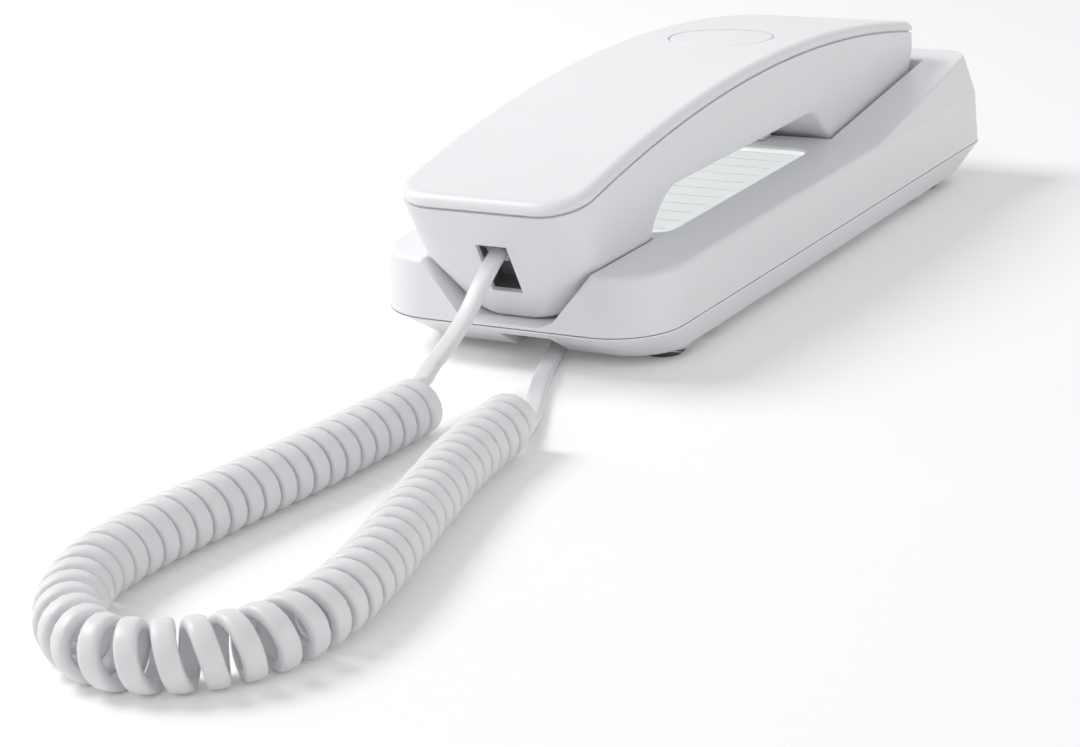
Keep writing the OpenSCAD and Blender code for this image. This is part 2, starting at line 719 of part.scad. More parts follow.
module handset_cover() color(white) {
  difference() {
    union() {
      difference() {
        intersection() {
          linear_extrude(bow_z + 20) handset_plan(0);
          bow(cover_h);
        }
        intersection() {
          bow(cover_h - cover_t);
          linear_extrude(bow_z + 20) handset_plan(cover_wall);
        }
        bow(0);
      }
      for (y = handset_screw_y) translate([0, y, handset_boss_z(y)]) intersection() {
        cylinder(d = boss_d - 0.8, h = 30);
        translate([0, -y, -handset_boss_z(y)]) bow(cover_h - cover_t + 0.4);
      }
    }
    translate([0, inlay_y, bow_z - 20]) intersection() {
      cylinder(d = inlay_d + 2 * lay_gap, h = 40);
      difference() {
        translate([-30, -30, 0]) cube([60, 60, 40]);
        translate([0, -inlay_y, 20 - bow_z]) bow(cover_h - inlay_t);
      }
    }
    for (y = handset_screw_y) translate([0, y, handset_boss_z(y) - eps])
      cylinder(d = shank_d + 0.2, h = 8);
  }
}

// Underside of the handset and the joint height of its screw bosses
function inner_z(y) = y < arch_rear ? arch_z : ear_z + (y - ear_front) * ear_slope;
function handset_boss_z(y) = inner_z(y) + 6.4;

module handset_shell() color(white) {
  difference() {
    union() {
      difference() {
        intersection() {
          handset_form(0);
          bow(0);
        }
        difference() {
          handset_form(shell_wall);
          side_view(80) arch_view(shell_wall);
        }
      }
      for (y = handset_screw_y) translate([0, y, inner_z(y) + 0.6])
        cylinder(d = boss_d, h = handset_boss_z(y) - inner_z(y) - 0.6);
      for (s = [0, 1]) mirror([s, 0, 0]) translate([rib_x, membrane_y, shell_floor - eps])
        cube([keypad_w / 2 - rib_x, membrane_l, membrane_z - shell_floor + eps]);
      translate([0, receiver_y, receiver_ring_z]) difference() {
        cylinder(d = receiver_d + 3, h = receiver_seat_z + 3.2 - receiver_ring_z);
        translate([0, 0, -2]) cylinder(d = receiver_d - 4, h = 20);
        translate([0, 0, receiver_seat_z - receiver_ring_z])
          cylinder(d = receiver_d + 2 * lay_gap, h = 20);
      }
    }
    side_view(80) arch_view(0);
    // sound holes of the receiver, round a centre hole
    for (a = [0 : 60 : 300]) translate([0, receiver_y, 15]) rotate(a) translate([6, 0, 0])
      cylinder(d = 2.2, h = 16);
    translate([0, receiver_y, 15]) cylinder(d = 2.2, h = 16);
    translate([0, mic_y, 5]) cylinder(d = 2, h = 14);
    for (y = handset_screw_y) translate([0, y, inner_z(y) - 3]) {
      cylinder(d = head_d + 0.6, h = 6);
      cylinder(d = shank_d + 0.4, h = 12);
    }
    for (i = [0 : 14]) translate([key_x(i), key_y(i), arch_z - 1]) linear_extrude(4)
      rounded(key_w + 2 * slide_gap, -key_l / 2 - slide_gap, key_l / 2 + slide_gap,
              2 + slide_gap);
    at_socket() translate([-plug_w / 2 - 0.4, -4, -11])
      cube([plug_w + 0.8, 6, 11 + plug_h / 2 + 0.6]);
  }
}

module cover_inlay() color([0.86, 0.86, 0.87]) {
  intersection() {
    translate([0, inlay_y, bow_z - 20]) cylinder(d = inlay_d, h = 40);
    difference() {
      bow(cover_h);
      bow(cover_h - inlay_t);
    }
  }
}

module receiver_capsule() color("dimgray") {
  translate([0, receiver_y, receiver_seat_z + gasket_t]) difference() {
    union() {
      cylinder(d = receiver_d, h = 2.4);
      cylinder(d = receiver_d - 8, h = receiver_h);
    }
    translate([0, 0, -eps]) cylinder(d = receiver_d - 12, h = 0.8);
  }
}

module receiver_gasket() color("black") {
  translate([0, receiver_y, receiver_seat_z]) difference() {
    cylinder(d = receiver_d, h = gasket_t);
    translate([0, 0, -1]) cylinder(d = receiver_d - 5, h = 4);
  }
}

module microphone_capsule() color("silver") {
  translate([0, mic_y, nose_z + shell_wall + 1.2]) cylinder(d = mic_d, h = 4.5);
}

module microphone_boot() color("black") {
  translate([0, mic_y, nose_z + shell_wall]) difference() {
    cylinder(d = mic_boot_d, h = mic_boot_h);
    translate([0, 0, 1.2]) cylinder(d = mic_d + 0.1, h = mic_boot_h);
    translate([0, 0, -1]) cylinder(d = 2, h = 4);
  }
}

module handset_circuit_board() color("darkgreen") {
  translate([-keypad_w / 2, membrane_y - 1, hboard_z])
    cube([keypad_w, membrane_l + key_setback, board_t]);
}

module keypad_membrane() color([0.55, 0.57, 0.6]) {
  difference() {
    translate([-keypad_w / 2, membrane_y, membrane_z]) cube([keypad_w, membrane_l, membrane_t]);
    for (i = [0 : 14]) translate([key_x(i), key_y(i), membrane_z - eps])
      cylinder(d = 5, h = 0.4);
  }
}

module handset_jack() color(dark_grey) {
  at_socket() translate([0, 1.7, 0]) difference() {
    jack_body(plug_w, 15.3, 12.4, plug_set - 1.7 + plug_l + 0.3);
    translate([-plug_w / 2 - plug_gap, -eps, -11]) cube([plug_w + 2 * plug_gap, 4, 9]);
  }
}

module handset_screws() color("silver") {
  for (y = handset_screw_y) translate([0, y, inner_z(y) + 3]) screw(9);
}

// Keys: three to a row; 1, 2 and 3 are next to the earpiece, and the last
// row holds redial, flash and mute. Seen from below, 1 is on the left.
function key_x(i) = (1 - i % 3) * key_pitch_x;
function key_y(i) = key_row_y - floor(i / 3) * key_pitch_y;

module key(i) color([0.88, 0.88, 0.89]) {
  translate([key_x(i), key_y(i), arch_z - key_proud]) {
    linear_extrude(key_cap_h + eps) rounded(key_w, -key_l / 2, key_l / 2, 2);
    translate([0, 0, key_cap_h]) linear_extrude(key_rim_h)
      rounded(key_w + 2 * key_rim, -key_l / 2 - key_rim, key_l / 2 + key_rim, 2);
  }
}

// ---- cord ------------------------------------------------------------------

module handset_plug() color([0.9, 0.92, 0.93, 0.6]) {
  at_socket() translate([0, plug_set, 0]) plug();
}

module base_plug() color([0.9, 0.92, 0.93, 0.6]) {
  translate([0, bay_rear - 2, jack_z]) plug();
}

module handset_lead() color(white) tube(lead_route, cord_w / 2, cord_t / 2, 8);
module curly_cord() color(white) tube(curl_route, curl_d / 2, curl_d / 2, 12);
module base_lead() color(white) tube(base_lead_route, cord_w / 2, cord_t / 2, 8);

base_upper_housing();
base_lower_housing();
rubber_feet();
base_screws();
base_circuit_board();
ringer();
ballast_weight();
base_cord_jack();
line_jack();
hook_switch_body();
hook_switch_plunger();
ringer_switch();
wall_tab();
index_card();
index_window();
handset_cover();
handset_shell();
cover_inlay();
receiver_capsule();
receiver_gasket();
microphone_capsule();
microphone_boot();
handset_circuit_board();
keypad_membrane();
handset_jack();
handset_screws();
key(0);  // key_1
key(1);  // key_2
key(2);  // key_3
key(3);  // key_4
key(4);  // key_5
key(5);  // key_6
key(6);  // key_7
key(7);  // key_8
key(8);  // key_9
key(9);  // key_star
key(10);  // key_0
key(11);  // key_hash
key(12);  // key_redial
key(13);  // key_flash
key(14);  // key_mute
handset_plug();
handset_lead();
curly_cord();
base_lead();
base_plug();
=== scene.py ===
# %% [markdown]
# # Slimline wall phone
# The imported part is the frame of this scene: its solids have the real sizes and places. This
# script gives them their looks: rounded shells, a crowned cover, the curls of the cord, marks on
# the keys, screws, materials, light and a camera. All sizes are in metres.

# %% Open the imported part
import math

import bmesh
import bpy
from mathutils import Matrix, Vector
from mathutils.geometry import delaunay_2d_cdt
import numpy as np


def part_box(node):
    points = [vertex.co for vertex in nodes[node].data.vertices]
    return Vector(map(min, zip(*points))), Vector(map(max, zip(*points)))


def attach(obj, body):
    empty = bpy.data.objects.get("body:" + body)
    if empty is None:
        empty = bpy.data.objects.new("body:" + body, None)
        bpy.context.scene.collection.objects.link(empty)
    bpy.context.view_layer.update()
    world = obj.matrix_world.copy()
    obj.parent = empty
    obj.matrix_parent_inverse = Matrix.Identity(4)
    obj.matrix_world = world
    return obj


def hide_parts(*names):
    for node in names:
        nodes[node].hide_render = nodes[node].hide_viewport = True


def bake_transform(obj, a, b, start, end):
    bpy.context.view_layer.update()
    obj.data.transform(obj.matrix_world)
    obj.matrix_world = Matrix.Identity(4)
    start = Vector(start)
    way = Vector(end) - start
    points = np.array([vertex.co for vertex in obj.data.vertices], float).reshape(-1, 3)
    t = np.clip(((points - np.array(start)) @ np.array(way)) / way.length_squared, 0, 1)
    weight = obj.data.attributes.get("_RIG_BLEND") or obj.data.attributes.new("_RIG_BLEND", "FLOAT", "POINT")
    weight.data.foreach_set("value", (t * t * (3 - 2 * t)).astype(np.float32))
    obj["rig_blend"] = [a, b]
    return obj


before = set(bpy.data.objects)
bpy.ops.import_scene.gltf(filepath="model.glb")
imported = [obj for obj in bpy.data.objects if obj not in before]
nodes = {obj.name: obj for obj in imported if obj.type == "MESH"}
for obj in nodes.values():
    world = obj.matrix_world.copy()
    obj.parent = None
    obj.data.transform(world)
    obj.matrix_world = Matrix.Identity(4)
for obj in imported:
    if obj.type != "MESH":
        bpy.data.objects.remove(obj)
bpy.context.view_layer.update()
scene = bpy.context.scene

MM = 0.001
UP = Vector((0, 0, 1))
print(f"{len(nodes)} CAD nodes")

# %% [markdown]
# ## Camera
# The phone is seen from its front right corner, a little from above, through a long lens. A
# camera can be turned by Euler angles or aimed with a constraint; here its three directions are
# worked out from yaw, pitch and roll, so that each can be changed by itself.

# %% Place the camera
CAMERA_PLACE = Vector((0.3072, -0.6197, 0.1933))
CAMERA_YAW, CAMERA_PITCH, CAMERA_ROLL = (math.radians(a) for a in (30.21, -18.03, -3.0))
CAMERA_LENS = 85.13


def aim_camera():
    """A camera at the eye's place, turned by yaw, pitch and roll."""
    ahead = Vector((-math.sin(CAMERA_YAW) * math.cos(CAMERA_PITCH),
                    math.cos(CAMERA_YAW) * math.cos(CAMERA_PITCH), math.sin(CAMERA_PITCH)))
    level = Vector((math.cos(CAMERA_YAW), math.sin(CAMERA_YAW), 0))
    over = level.cross(ahead)
    right = math.cos(CAMERA_ROLL) * level + math.sin(CAMERA_ROLL) * over
    above = -math.sin(CAMERA_ROLL) * level + math.cos(CAMERA_ROLL) * over
    data = bpy.data.cameras.new("camera")
    data.lens = CAMERA_LENS
    data.sensor_width = 36
    camera = bpy.data.objects.new("camera", data)
    turn = Matrix((right, above, -ahead)).transposed().to_4x4()
    camera.matrix_world = Matrix.Translation(CAMERA_PLACE) @ turn
    scene.collection.objects.link(camera)
    scene.camera = camera


aim_camera()
print("camera at", tuple(round(c, 3) for c in scene.camera.matrix_world.translation))

# %% [markdown]
# ## Helpers for node trees
# Shader groups and geometry trees are built the same way: sockets first, then nodes and links.
# A few helpers keep the trees below short enough to read.

# %% New trees and nodes
def new_group(name, inputs, outputs, kind="ShaderNodeTree"):
    """An empty node tree with the given sockets, and its two end nodes."""
    group = bpy.data.node_groups.new(name, kind)
    for label, socket_kind, value in inputs:
        socket = group.interface.new_socket(label, in_out="INPUT", socket_type=socket_kind)
        if value is not None:
            socket.default_value = value
    for label, socket_kind in outputs:
        group.interface.new_socket(label, in_out="OUTPUT", socket_type=socket_kind)
    return group, group.nodes.new("NodeGroupInput"), group.nodes.new("NodeGroupOutput")


def add(tree, kind, links=(), **values):
    """A node of that kind: links are (socket, source socket) pairs, values set its properties."""
    made = tree.nodes.new(kind)
    for name, value in values.items():
        setattr(made, name, value)
    for socket, source in links:
        tree.links.new(source, made.inputs[socket])
    return made


def sum_of(tree, operation, first, second=None):
    """Output of a math node; first and second are sockets or numbers."""
    made = add(tree, "ShaderNodeMath", operation=operation)
    for slot, value in enumerate([first] if second is None else [first, second]):
        if isinstance(value, (int, float)):
            made.inputs[slot].default_value = value
        else:
            tree.links.new(value, made.inputs[slot])
    return made.outputs[0]


def seen_directly(tree):
    """1 where the camera, a reflection or a clear part sees the surface, 0 where it lights."""
    path = add(tree, "ShaderNodeLightPath")
    seen = sum_of(tree, "MAXIMUM", path.outputs["Is Camera Ray"], path.outputs["Is Glossy Ray"])
    return sum_of(tree, "MAXIMUM", seen, path.outputs["Is Transmission Ray"])


# %% [markdown]
# ## Soft tint
# No moulding has quite one colour. This group takes a colour and makes large soft patches of it a
# few hundredths darker. It could be painted on a texture, but noise on Object coordinates needs
# no unwrapping and stays put when a piece moves.

# %% Tint group
def tint_group():
    """Colour in, the same colour out with soft, large patches a little darker."""
    group, start, end = new_group(
        "soft_tint", [("Color", "NodeSocketColor", (0.8, 0.8, 0.8, 1)),
                      ("Scale", "NodeSocketFloat", 30.0), ("Amount", "NodeSocketFloat", 0.04)],
        [("Color", "NodeSocketColor"), ("Patches", "NodeSocketFloat")])
    place = add(group, "ShaderNodeTexCoord")
    noise = add(group, "ShaderNodeTexNoise", [("Vector", place.outputs["Object"]),
                                              ("Scale", start.outputs["Scale"])])
    noise.inputs["Detail"].default_value = 3
    dark = sum_of(group, "MULTIPLY", noise.outputs["Fac"], start.outputs["Amount"])
    keep = sum_of(group, "SUBTRACT", 1, dark)
    scaled = add(group, "ShaderNodeVectorMath", [(0, start.outputs["Color"]), ("Scale", keep)],
                 operation="SCALE")
    group.links.new(scaled.outputs["Vector"], end.inputs["Color"])
    group.links.new(noise.outputs["Fac"], end.inputs["Patches"])
    return group


TINT = tint_group()
print("group", TINT.name)

# %% [markdown]
# ## Moulded grain
# The tool of an injection moulding is spark-eroded, which leaves a fine even grain, and hands
# leave faint marks in the gloss. A bump from fine noise gives the one, a slow change of roughness
# the other, and every plastic of the phone shares them.

# %% Grain group
def grain_group():
    """Normal and roughness of a moulded surface: a fine grain and faint handling marks."""
    group, start, end = new_group(
        "moulded_grain", [("Scale", "NodeSocketFloat", 2500.0), ("Height", "NodeSocketFloat", 0.05),
                          ("Roughness", "NodeSocketFloat", 0.35)],
        [("Normal", "NodeSocketVector"), ("Roughness", "NodeSocketFloat")])
    place = add(group, "ShaderNodeTexCoord")
    fine = add(group, "ShaderNodeTexNoise", [("Vector", place.outputs["Object"]),
                                             ("Scale", start.outputs["Scale"])])
    fine.inputs["Detail"].default_value = 2
    bump = add(group, "ShaderNodeBump", [("Height", fine.outputs["Fac"]),
                                         ("Strength", start.outputs["Height"])])
    bump.inputs["Distance"].default_value = 0.0002
    marks = add(group, "ShaderNodeTexNoise", [("Vector", place.outputs["Object"])])
    marks.inputs["Scale"].default_value = 70
    marks.inputs["Detail"].default_value = 5
    spread = add(group, "ShaderNodeMapRange", [("Value", marks.outputs["Fac"])])
    spread.inputs["From Min"].default_value = 0.35
    spread.inputs["From Max"].default_value = 0.75
    spread.inputs["To Min"].default_value = -0.02
    spread.inputs["To Max"].default_value = 0.05
    rough = sum_of(group, "ADD", start.outputs["Roughness"], spread.outputs[0])
    group.links.new(bump.outputs["Normal"], end.inputs["Normal"])
    group.links.new(rough, end.inputs["Roughness"])
    return group


GRAIN = grain_group()
print("group", GRAIN.name)

# %% [markdown]
# ## Plastic, rubber and metal
# Shells, keys, feet, cord and fasteners differ in colour, gloss and grain, not in kind. One
# function makes them all from the two groups, so their differences stand side by side below.

# %% Moulded materials
def new_material(name):
    """A material with only a principled shader, and its tree and shader."""
    material = bpy.data.materials.new(name)
    material.use_nodes = True
    shader = material.node_tree.nodes["Principled BSDF"]
    return material, material.node_tree, shader


def use_grain(tree, shader, rough, grain, height):
    """Give a shader the shared grain."""
    made = add(tree, "ShaderNodeGroup", node_tree=GRAIN)
    made.inputs["Scale"].default_value = grain
    made.inputs["Height"].default_value = height
    made.inputs["Roughness"].default_value = rough
    tree.links.new(made.outputs["Normal"], shader.inputs["Normal"])
    tree.links.new(made.outputs["Roughness"], shader.inputs["Roughness"])


def moulded(name, color, rough=0.35, grain=2500.0, height=0.05, patches=30.0, amount=0.03,
            metal=0.0, coat=0.0):
    """Plastic, rubber, vinyl or metal: a broken-up colour with a fine grain."""
    material, tree, shader = new_material(name)
    tint = add(tree, "ShaderNodeGroup", node_tree=TINT)
    tint.inputs["Color"].default_value = (*color, 1)
    tint.inputs["Scale"].default_value = patches
    tint.inputs["Amount"].default_value = amount
    tree.links.new(tint.outputs["Color"], shader.inputs["Base Color"])
    use_grain(tree, shader, rough, grain, height)
    shader.inputs["Metallic"].default_value = metal
    shader.inputs["Coat Weight"].default_value = coat
    shader.inputs["Coat Roughness"].default_value = 0.12
    return material


# %% [markdown]
# ## Clear plastic
# The window over the card and the plugs are clear mouldings. Full refraction would darken what
# lies under them, so they let light straight through by a low alpha and keep a smooth gloss.

# %% Clear material
def clear(name, color, alpha, rough):
    """Clear moulded plastic that lets most of the light through."""
    material = moulded(name, color, rough=rough, height=0.01, amount=0.05)
    shader = material.node_tree.nodes["Principled BSDF"]
    shader.inputs["Alpha"].default_value = alpha
    shader.inputs["IOR"].default_value = 1.49
    return material


# %% [markdown]
# ## Ruled card
# The index card is white with faint lines to write on. The lines are a rule, not a picture: where
# the distance along the card, folded back and forth, is less than half a line's width, the ink
# shows. That stays sharp at any distance. Real paper has no light of its own. This one is given
# some, because it otherwise comes out too dark in the handset's shade; with the handset lifted it
# is then too bright.

# %% Card material
CARD_WHITE, CARD_INK = (0.78, 0.80, 0.79, 1), (0.42, 0.50, 0.48, 1)
CARD_GLOW = 0.5                             # strength of the card's own light
LINE_HALF = 0.25 * MM


def ruled_paper(name, first_y, pitch, half_width):
    """White card with faint ruled lines across it."""
    material, tree, shader = new_material(name)
    place = add(tree, "ShaderNodeTexCoord")
    axes = add(tree, "ShaderNodeSeparateXYZ", [(0, place.outputs["Object"])])
    above = sum_of(tree, "SUBTRACT", axes.outputs["Y"], first_y)
    on_line = sum_of(tree, "LESS_THAN", sum_of(tree, "PINGPONG", above, pitch / 2), LINE_HALF)
    inside = sum_of(tree, "LESS_THAN", sum_of(tree, "ABSOLUTE", axes.outputs["X"]), half_width)
    ink = sum_of(tree, "MULTIPLY", on_line, inside)
    tint = add(tree, "ShaderNodeGroup", node_tree=TINT)
    tint.inputs["Color"].default_value = CARD_WHITE
    tint.inputs["Scale"].default_value = 200
    mix = add(tree, "ShaderNodeMix", data_type="RGBA")
    tree.links.new(ink, mix.inputs[0])
    tree.links.new(tint.outputs["Color"], mix.inputs[6])
    mix.inputs[7].default_value = CARD_INK
    tree.links.new(mix.outputs[2], shader.inputs["Base Color"])
    tree.links.new(mix.outputs[2], shader.inputs["Emission Color"])
    shader.inputs["Emission Strength"].default_value = CARD_GLOW
    use_grain(tree, shader, 0.6, 5000.0, 0.1)
    return material


# %% [markdown]
# ## The materials of this phone
# Each name is the one that the record of the part gives its surfaces. A new piece gets its
# material, its body and the CAD nodes that it stands for in one call.

# %% Materials by name
card_low, card_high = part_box("index_card")
WHITE = (0.86, 0.86, 0.88)
materials = {
    "base_plastic": moulded("base_plastic", WHITE, rough=0.36),
    "handset_plastic": moulded("handset_plastic", WHITE, rough=0.33, height=0.02),
    "inlay_plastic": moulded("inlay_plastic", WHITE, rough=0.36, height=0.03),
    "key_plastic": moulded("key_plastic", (0.74, 0.75, 0.77), rough=0.4),
    "switch_knob_plastic": moulded("switch_knob_plastic", (0.30, 0.31, 0.33), rough=0.4),
    "switch_plastic": moulded("switch_plastic", (0.05, 0.05, 0.055), rough=0.45),
    "foot_rubber": moulded("foot_rubber", (0.09, 0.09, 0.1), rough=0.8, grain=4000.0, height=0.3),
    "keypad_rubber": moulded("keypad_rubber", (0.33, 0.34, 0.36), rough=0.7),
    "jack_plastic": moulded("jack_plastic", (0.11, 0.11, 0.12), rough=0.4),
    "screw_steel": moulded("screw_steel", (0.55, 0.56, 0.58), rough=0.35, metal=1.0),
    "ballast_steel": moulded("ballast_steel", (0.36, 0.37, 0.39), rough=0.5, metal=0.8, amount=0.2),
    "circuit_board": moulded("circuit_board", (0.03, 0.20, 0.08), rough=0.35, patches=300.0,
                             amount=0.3),
    "ringer_brass": moulded("ringer_brass", (0.62, 0.45, 0.17), rough=0.35, metal=1.0),
    "capsule_metal": moulded("capsule_metal", (0.45, 0.46, 0.48), rough=0.4, metal=0.9),
    "card_paper": ruled_paper("card_paper", card_low.y + 6 * MM, 8 * MM, card_high.x - 3 * MM),
    "window_clear": clear("window_clear", (0.97, 0.98, 0.98), 0.06, 0.32),
    "plug_clear": clear("plug_clear", (0.62, 0.64, 0.66), 0.62, 0.15),
    "cord_vinyl": moulded("cord_vinyl", (0.84, 0.84, 0.855), rough=0.38, height=0.04, amount=0.05),
    "key_ink": moulded("key_ink", (0.10, 0.10, 0.11), rough=0.5),
}
print(len(materials), "materials")


# %% Dress a piece
def finish_piece(piece, body, material, *replaced):
    """Give a new piece its material and its body, and let it stand for CAD nodes."""
    piece.data.materials.clear()
    piece.data.materials.append(materials[material])
    for polygon in piece.data.polygons:
        polygon.material_index = 0
    if piece.name not in scene.collection.objects:
        scene.collection.objects.link(piece)
    if replaced:
        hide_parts(*replaced)
    if body:
        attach(piece, body)
    return piece


# %% [markdown]
# ## Route of the cord
# One flat vinyl cord runs from the plug in the handset through the curls to the plug in the base.
# It could be a bevelled curve, but its flat side turns with every curl, so its centres and the
# direction of its flat side are worked out first and a section is swept along them.

# %% Points of the route
CORD_WIDTH, CORD_THICK = 4.4 * MM, 2.8 * MM
CURL_RADIUS = 5.6 * MM                      # of the cord's centreline round the curl's axis
LEAD = [(0, -108.2, 30.9), (0, -112.6, 28.5), (0, -119, 24.2), (0, -126, 19), (0, -135, 14.6),
        (0.5, -143, 12.2), (2, -149, 11), (2.8, -152.3, 10.6)]
CURL = [(4, -153, 7), (3.5, -170, 7), (2, -194, 7), (-1, -218, 7), (-3.5, -242, 7),
        (-3.5, -260, 7), (0, -272, 7), (6.5, -283, 7), (14, -290, 7), (23, -294, 7),
        (33, -292.5, 7), (42, -286.5, 7), (48, -277, 7), (50, -266, 7), (49.5, -253, 7),
        (46, -236, 7), (39, -210, 7), (32.5, -182, 7), (29.5, -157, 7)]
BASE_LEAD = [(29.4, -156.3, 4.9), (28.5, -150, 2.8), (25, -140, 1.7), (18, -125, 1.6),
             (12, -111, 1.6), (8, -100, 1.6), (5, -91, 1.8), (2.6, -83, 2.8), (1, -76, 4.4),
             (0, -69, 6.4), (0, -64, 7.9), (0, -60.1, 8.4)]
# Points of the curl's route, and the turns wound by then: open round the bend, close elsewhere
TURNS_AT = {0: 0.0, 5: 20.5, 13: 35.0, 18: 55.5}
STEPS_PER_TURN = 20
WIND = 1                                    # 1 winds one way, -1 the other


def metres(points):
    return [Vector(p) * MM for p in points]


def smooth_point(points, t):
    """Catmull-Rom curve through the points, at t from 0 to len(points) - 1."""
    last = len(points) - 1
    i = min(int(t), last - 1)
    u = t - i
    b, c = points[i], points[i + 1]
    a = points[i - 1] if i > 0 else 2 * b - c
    d = points[i + 2] if i + 2 <= last else 2 * c - b
    return 0.5 * (2 * b + (c - a) * u + (2 * a - 5 * b + 4 * c - d) * u * u
                  + (3 * b - a - 3 * c + d) * u ** 3)


def ease(t):
    t = min(max(t, 0.0), 1.0)
    return t * t * (3 - 2 * t)


# %% [markdown]
# ## Turns of the curls
# The curls are open round the bend, where the coil is stretched, and close along its two arms.
# Turns are counted along the length, so the pitch stays even between the stops.

# %% Wind the curls
def turns_wound(route, spots):
    """Turns wound up to each spot along the curl's route, even in length between the stops."""
    places = [smooth_point(route, t) for t in spots]
    run = [0.0]
    for a, b in zip(places, places[1:]):
        run.append(run[-1] + (b - a).length)
    stops = sorted(TURNS_AT)
    run_at = {stop: min(zip(spots, run), key=lambda pair: abs(pair[0] - stop))[1]
              for stop in stops}
    wound = []
    for here in run:
        i = max(k for k in range(len(stops) - 1) if run_at[stops[k]] <= here)
        a, b = stops[i], stops[i + 1]
        share = (here - run_at[a]) / (run_at[b] - run_at[a])
        wound.append(TURNS_AT[a] + (TURNS_AT[b] - TURNS_AT[a]) * share)
    return wound


def cord_line():
    """Centres of the cord and, at each, the direction of its flat side."""
    line = []
    lead = metres(LEAD)
    for k in range(6 * (len(lead) - 2) + 1):
        line.append((smooth_point(lead, k / 6), UP))
    route = metres(CURL)
    total = TURNS_AT[max(TURNS_AT)]
    steps = 2400
    spots = [k * (len(route) - 1) / steps for k in range(steps + 1)]
    wound = turns_wound(route, spots)
    want = 0.12
    for t, turns in zip(spots, wound):
        if turns < want or turns > total - 0.1:
            continue
        want += 1 / STEPS_PER_TURN
        ahead = (smooth_point(route, min(t + 0.02, len(route) - 1))
                 - smooth_point(route, max(t - 0.02, 0))).normalized()
        side = UP.cross(ahead)
        angle = math.pi / 2 + WIND * 2 * math.pi * turns
        outward = math.cos(angle) * side + math.sin(angle) * UP
        tuck = min(ease(0.55 + turns / 0.8), ease(0.5 + (total - turns) / 0.8))
        line.append((smooth_point(route, t) + CURL_RADIUS * tuck * outward, outward))
    back = metres(BASE_LEAD)
    for k in range(3, 6 * (len(back) - 1) + 1):
        line.append((smooth_point(back, k / 6), -UP))
    return line


# %% [markdown]
# ## Section and sweep
# The cord's section is flat with full round edges, which a superellipse gives in one line. The
# tube is closed at both ends and held to base and handset.

# %% Sweep the cord
def made_object(name, bm):
    """The finished bmesh as an object."""
    mesh = bpy.data.meshes.new(name)
    bm.to_mesh(mesh)
    bm.free()
    return bpy.data.objects.new(name, mesh)


def superellipse(width, thick, count, power=3.2):
    """Section of the flat cord, with full round edges."""
    ring = []
    for k in range(count):
        a = 2 * math.pi * (k + 0.5) / count
        c, s = math.cos(a), math.sin(a)
        ring.append((width / 2 * math.copysign(abs(c) ** (2 / power), c),
                     thick / 2 * math.copysign(abs(s) ** (2 / power), s)))
    return ring


def sweep(name, line, ring):
    """A closed tube: the ring carried along the line, its height along each direction."""
    count = len(ring)
    bm = bmesh.new()
    rows = []
    for i, (centre, flat) in enumerate(line):
        ahead = (line[min(i + 1, len(line) - 1)][0] - line[max(i - 1, 0)][0]).normalized()
        across = ahead.cross(flat).normalized()
        over = across.cross(ahead)
        rows.append([bm.verts.new(centre + x * across + z * over) for x, z in ring])
    for low, high in zip(rows, rows[1:]):
        for k in range(count):
            bm.faces.new((low[k], low[(k + 1) % count], high[(k + 1) % count], high[k]))
    bm.faces.new(rows[0][::-1])
    bm.faces.new(rows[-1])
    bmesh.ops.recalc_face_normals(bm, faces=bm.faces)
    tube = made_object(name, bm)
    tube.data.shade_smooth()
    return tube


cord_centres = cord_line()
cord = sweep("cord_flat_cord", cord_centres, superellipse(CORD_WIDTH, CORD_THICK, 16))
finish_piece(cord, None, "cord_vinyl", "handset_lead", "curly_cord", "base_lead")
cord_length = sum((b[0] - a[0]).length for a, b in zip(cord_centres, cord_centres[1:]))
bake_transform(cord, "base", "handset", start=(0, -0.13, 0.0145), end=(0, -0.13, 0.029))
print(f"cord {cord_length:.3f} m, {TURNS_AT[max(TURNS_AT)]} turns")

# %% [markdown]
# ## Rounded shells
# A moulding has no sharp outside edge. The shells keep the CAD shape and get bevels whose width
# is set edge by edge. Normals weighted by area then keep the large faces flat and let only the
# bevels turn the light.

# %% Clean and bake
def cleaned(node, name):
    """The CAD mesh of a node as a new object, with flat faces joined up."""
    bm = bmesh.new()
    bm.from_mesh(nodes[node].data)
    bmesh.ops.remove_doubles(bm, verts=bm.verts, dist=0.002 * MM)
    bmesh.ops.dissolve_limit(bm, angle_limit=math.radians(0.3), verts=bm.verts, edges=bm.edges)
    piece = made_object(name, bm)
    attributes = piece.data.attributes
    for extra in ("custom_normal", "sharp_edge", "sharp_face"):
        if extra in attributes:
            attributes.remove(attributes[extra])
    return piece


def bake(piece):
    """Apply a piece's modifiers to its mesh."""
    shown = piece.evaluated_get(bpy.context.evaluated_depsgraph_get())
    mesh = bpy.data.meshes.new_from_object(shown)
    mesh.name = piece.name
    piece.modifiers.clear()
    piece.data = mesh


# %% [markdown]
# ## Flats that fold over
# Bevels beside small holes overlap, so the outline of a flat face can cross itself. One crossing
# spoils the filling of the whole face, which then shows black and covers holes. Narrower bevels
# make it rarer, and clamped ones prevent it but leave two of these shells with no rounding. So
# the face is cut again into triangles that count the crossing as a point. The neighbour isn't
# split there: the shells look right, but their meshes aren't closed.

# %% Fill flats again
FOLD_EXCESS = 1.002                         # filled area over true area from which a face is bad
MERGE_DISTANCE = 1e-8


def winding(point, ring):
    """How often a closed ring of flat points goes round a point: 0 is outside."""
    turns = 0
    for a, b in zip(ring, ring[1:] + ring[:1]):
        side = (b.x - a.x) * (point.y - a.y) - (point.x - a.x) * (b.y - a.y)
        if a.y <= point.y < b.y and side > 0:
            turns += 1
        elif b.y <= point.y < a.y and side < 0:
            turns -= 1
    return turns


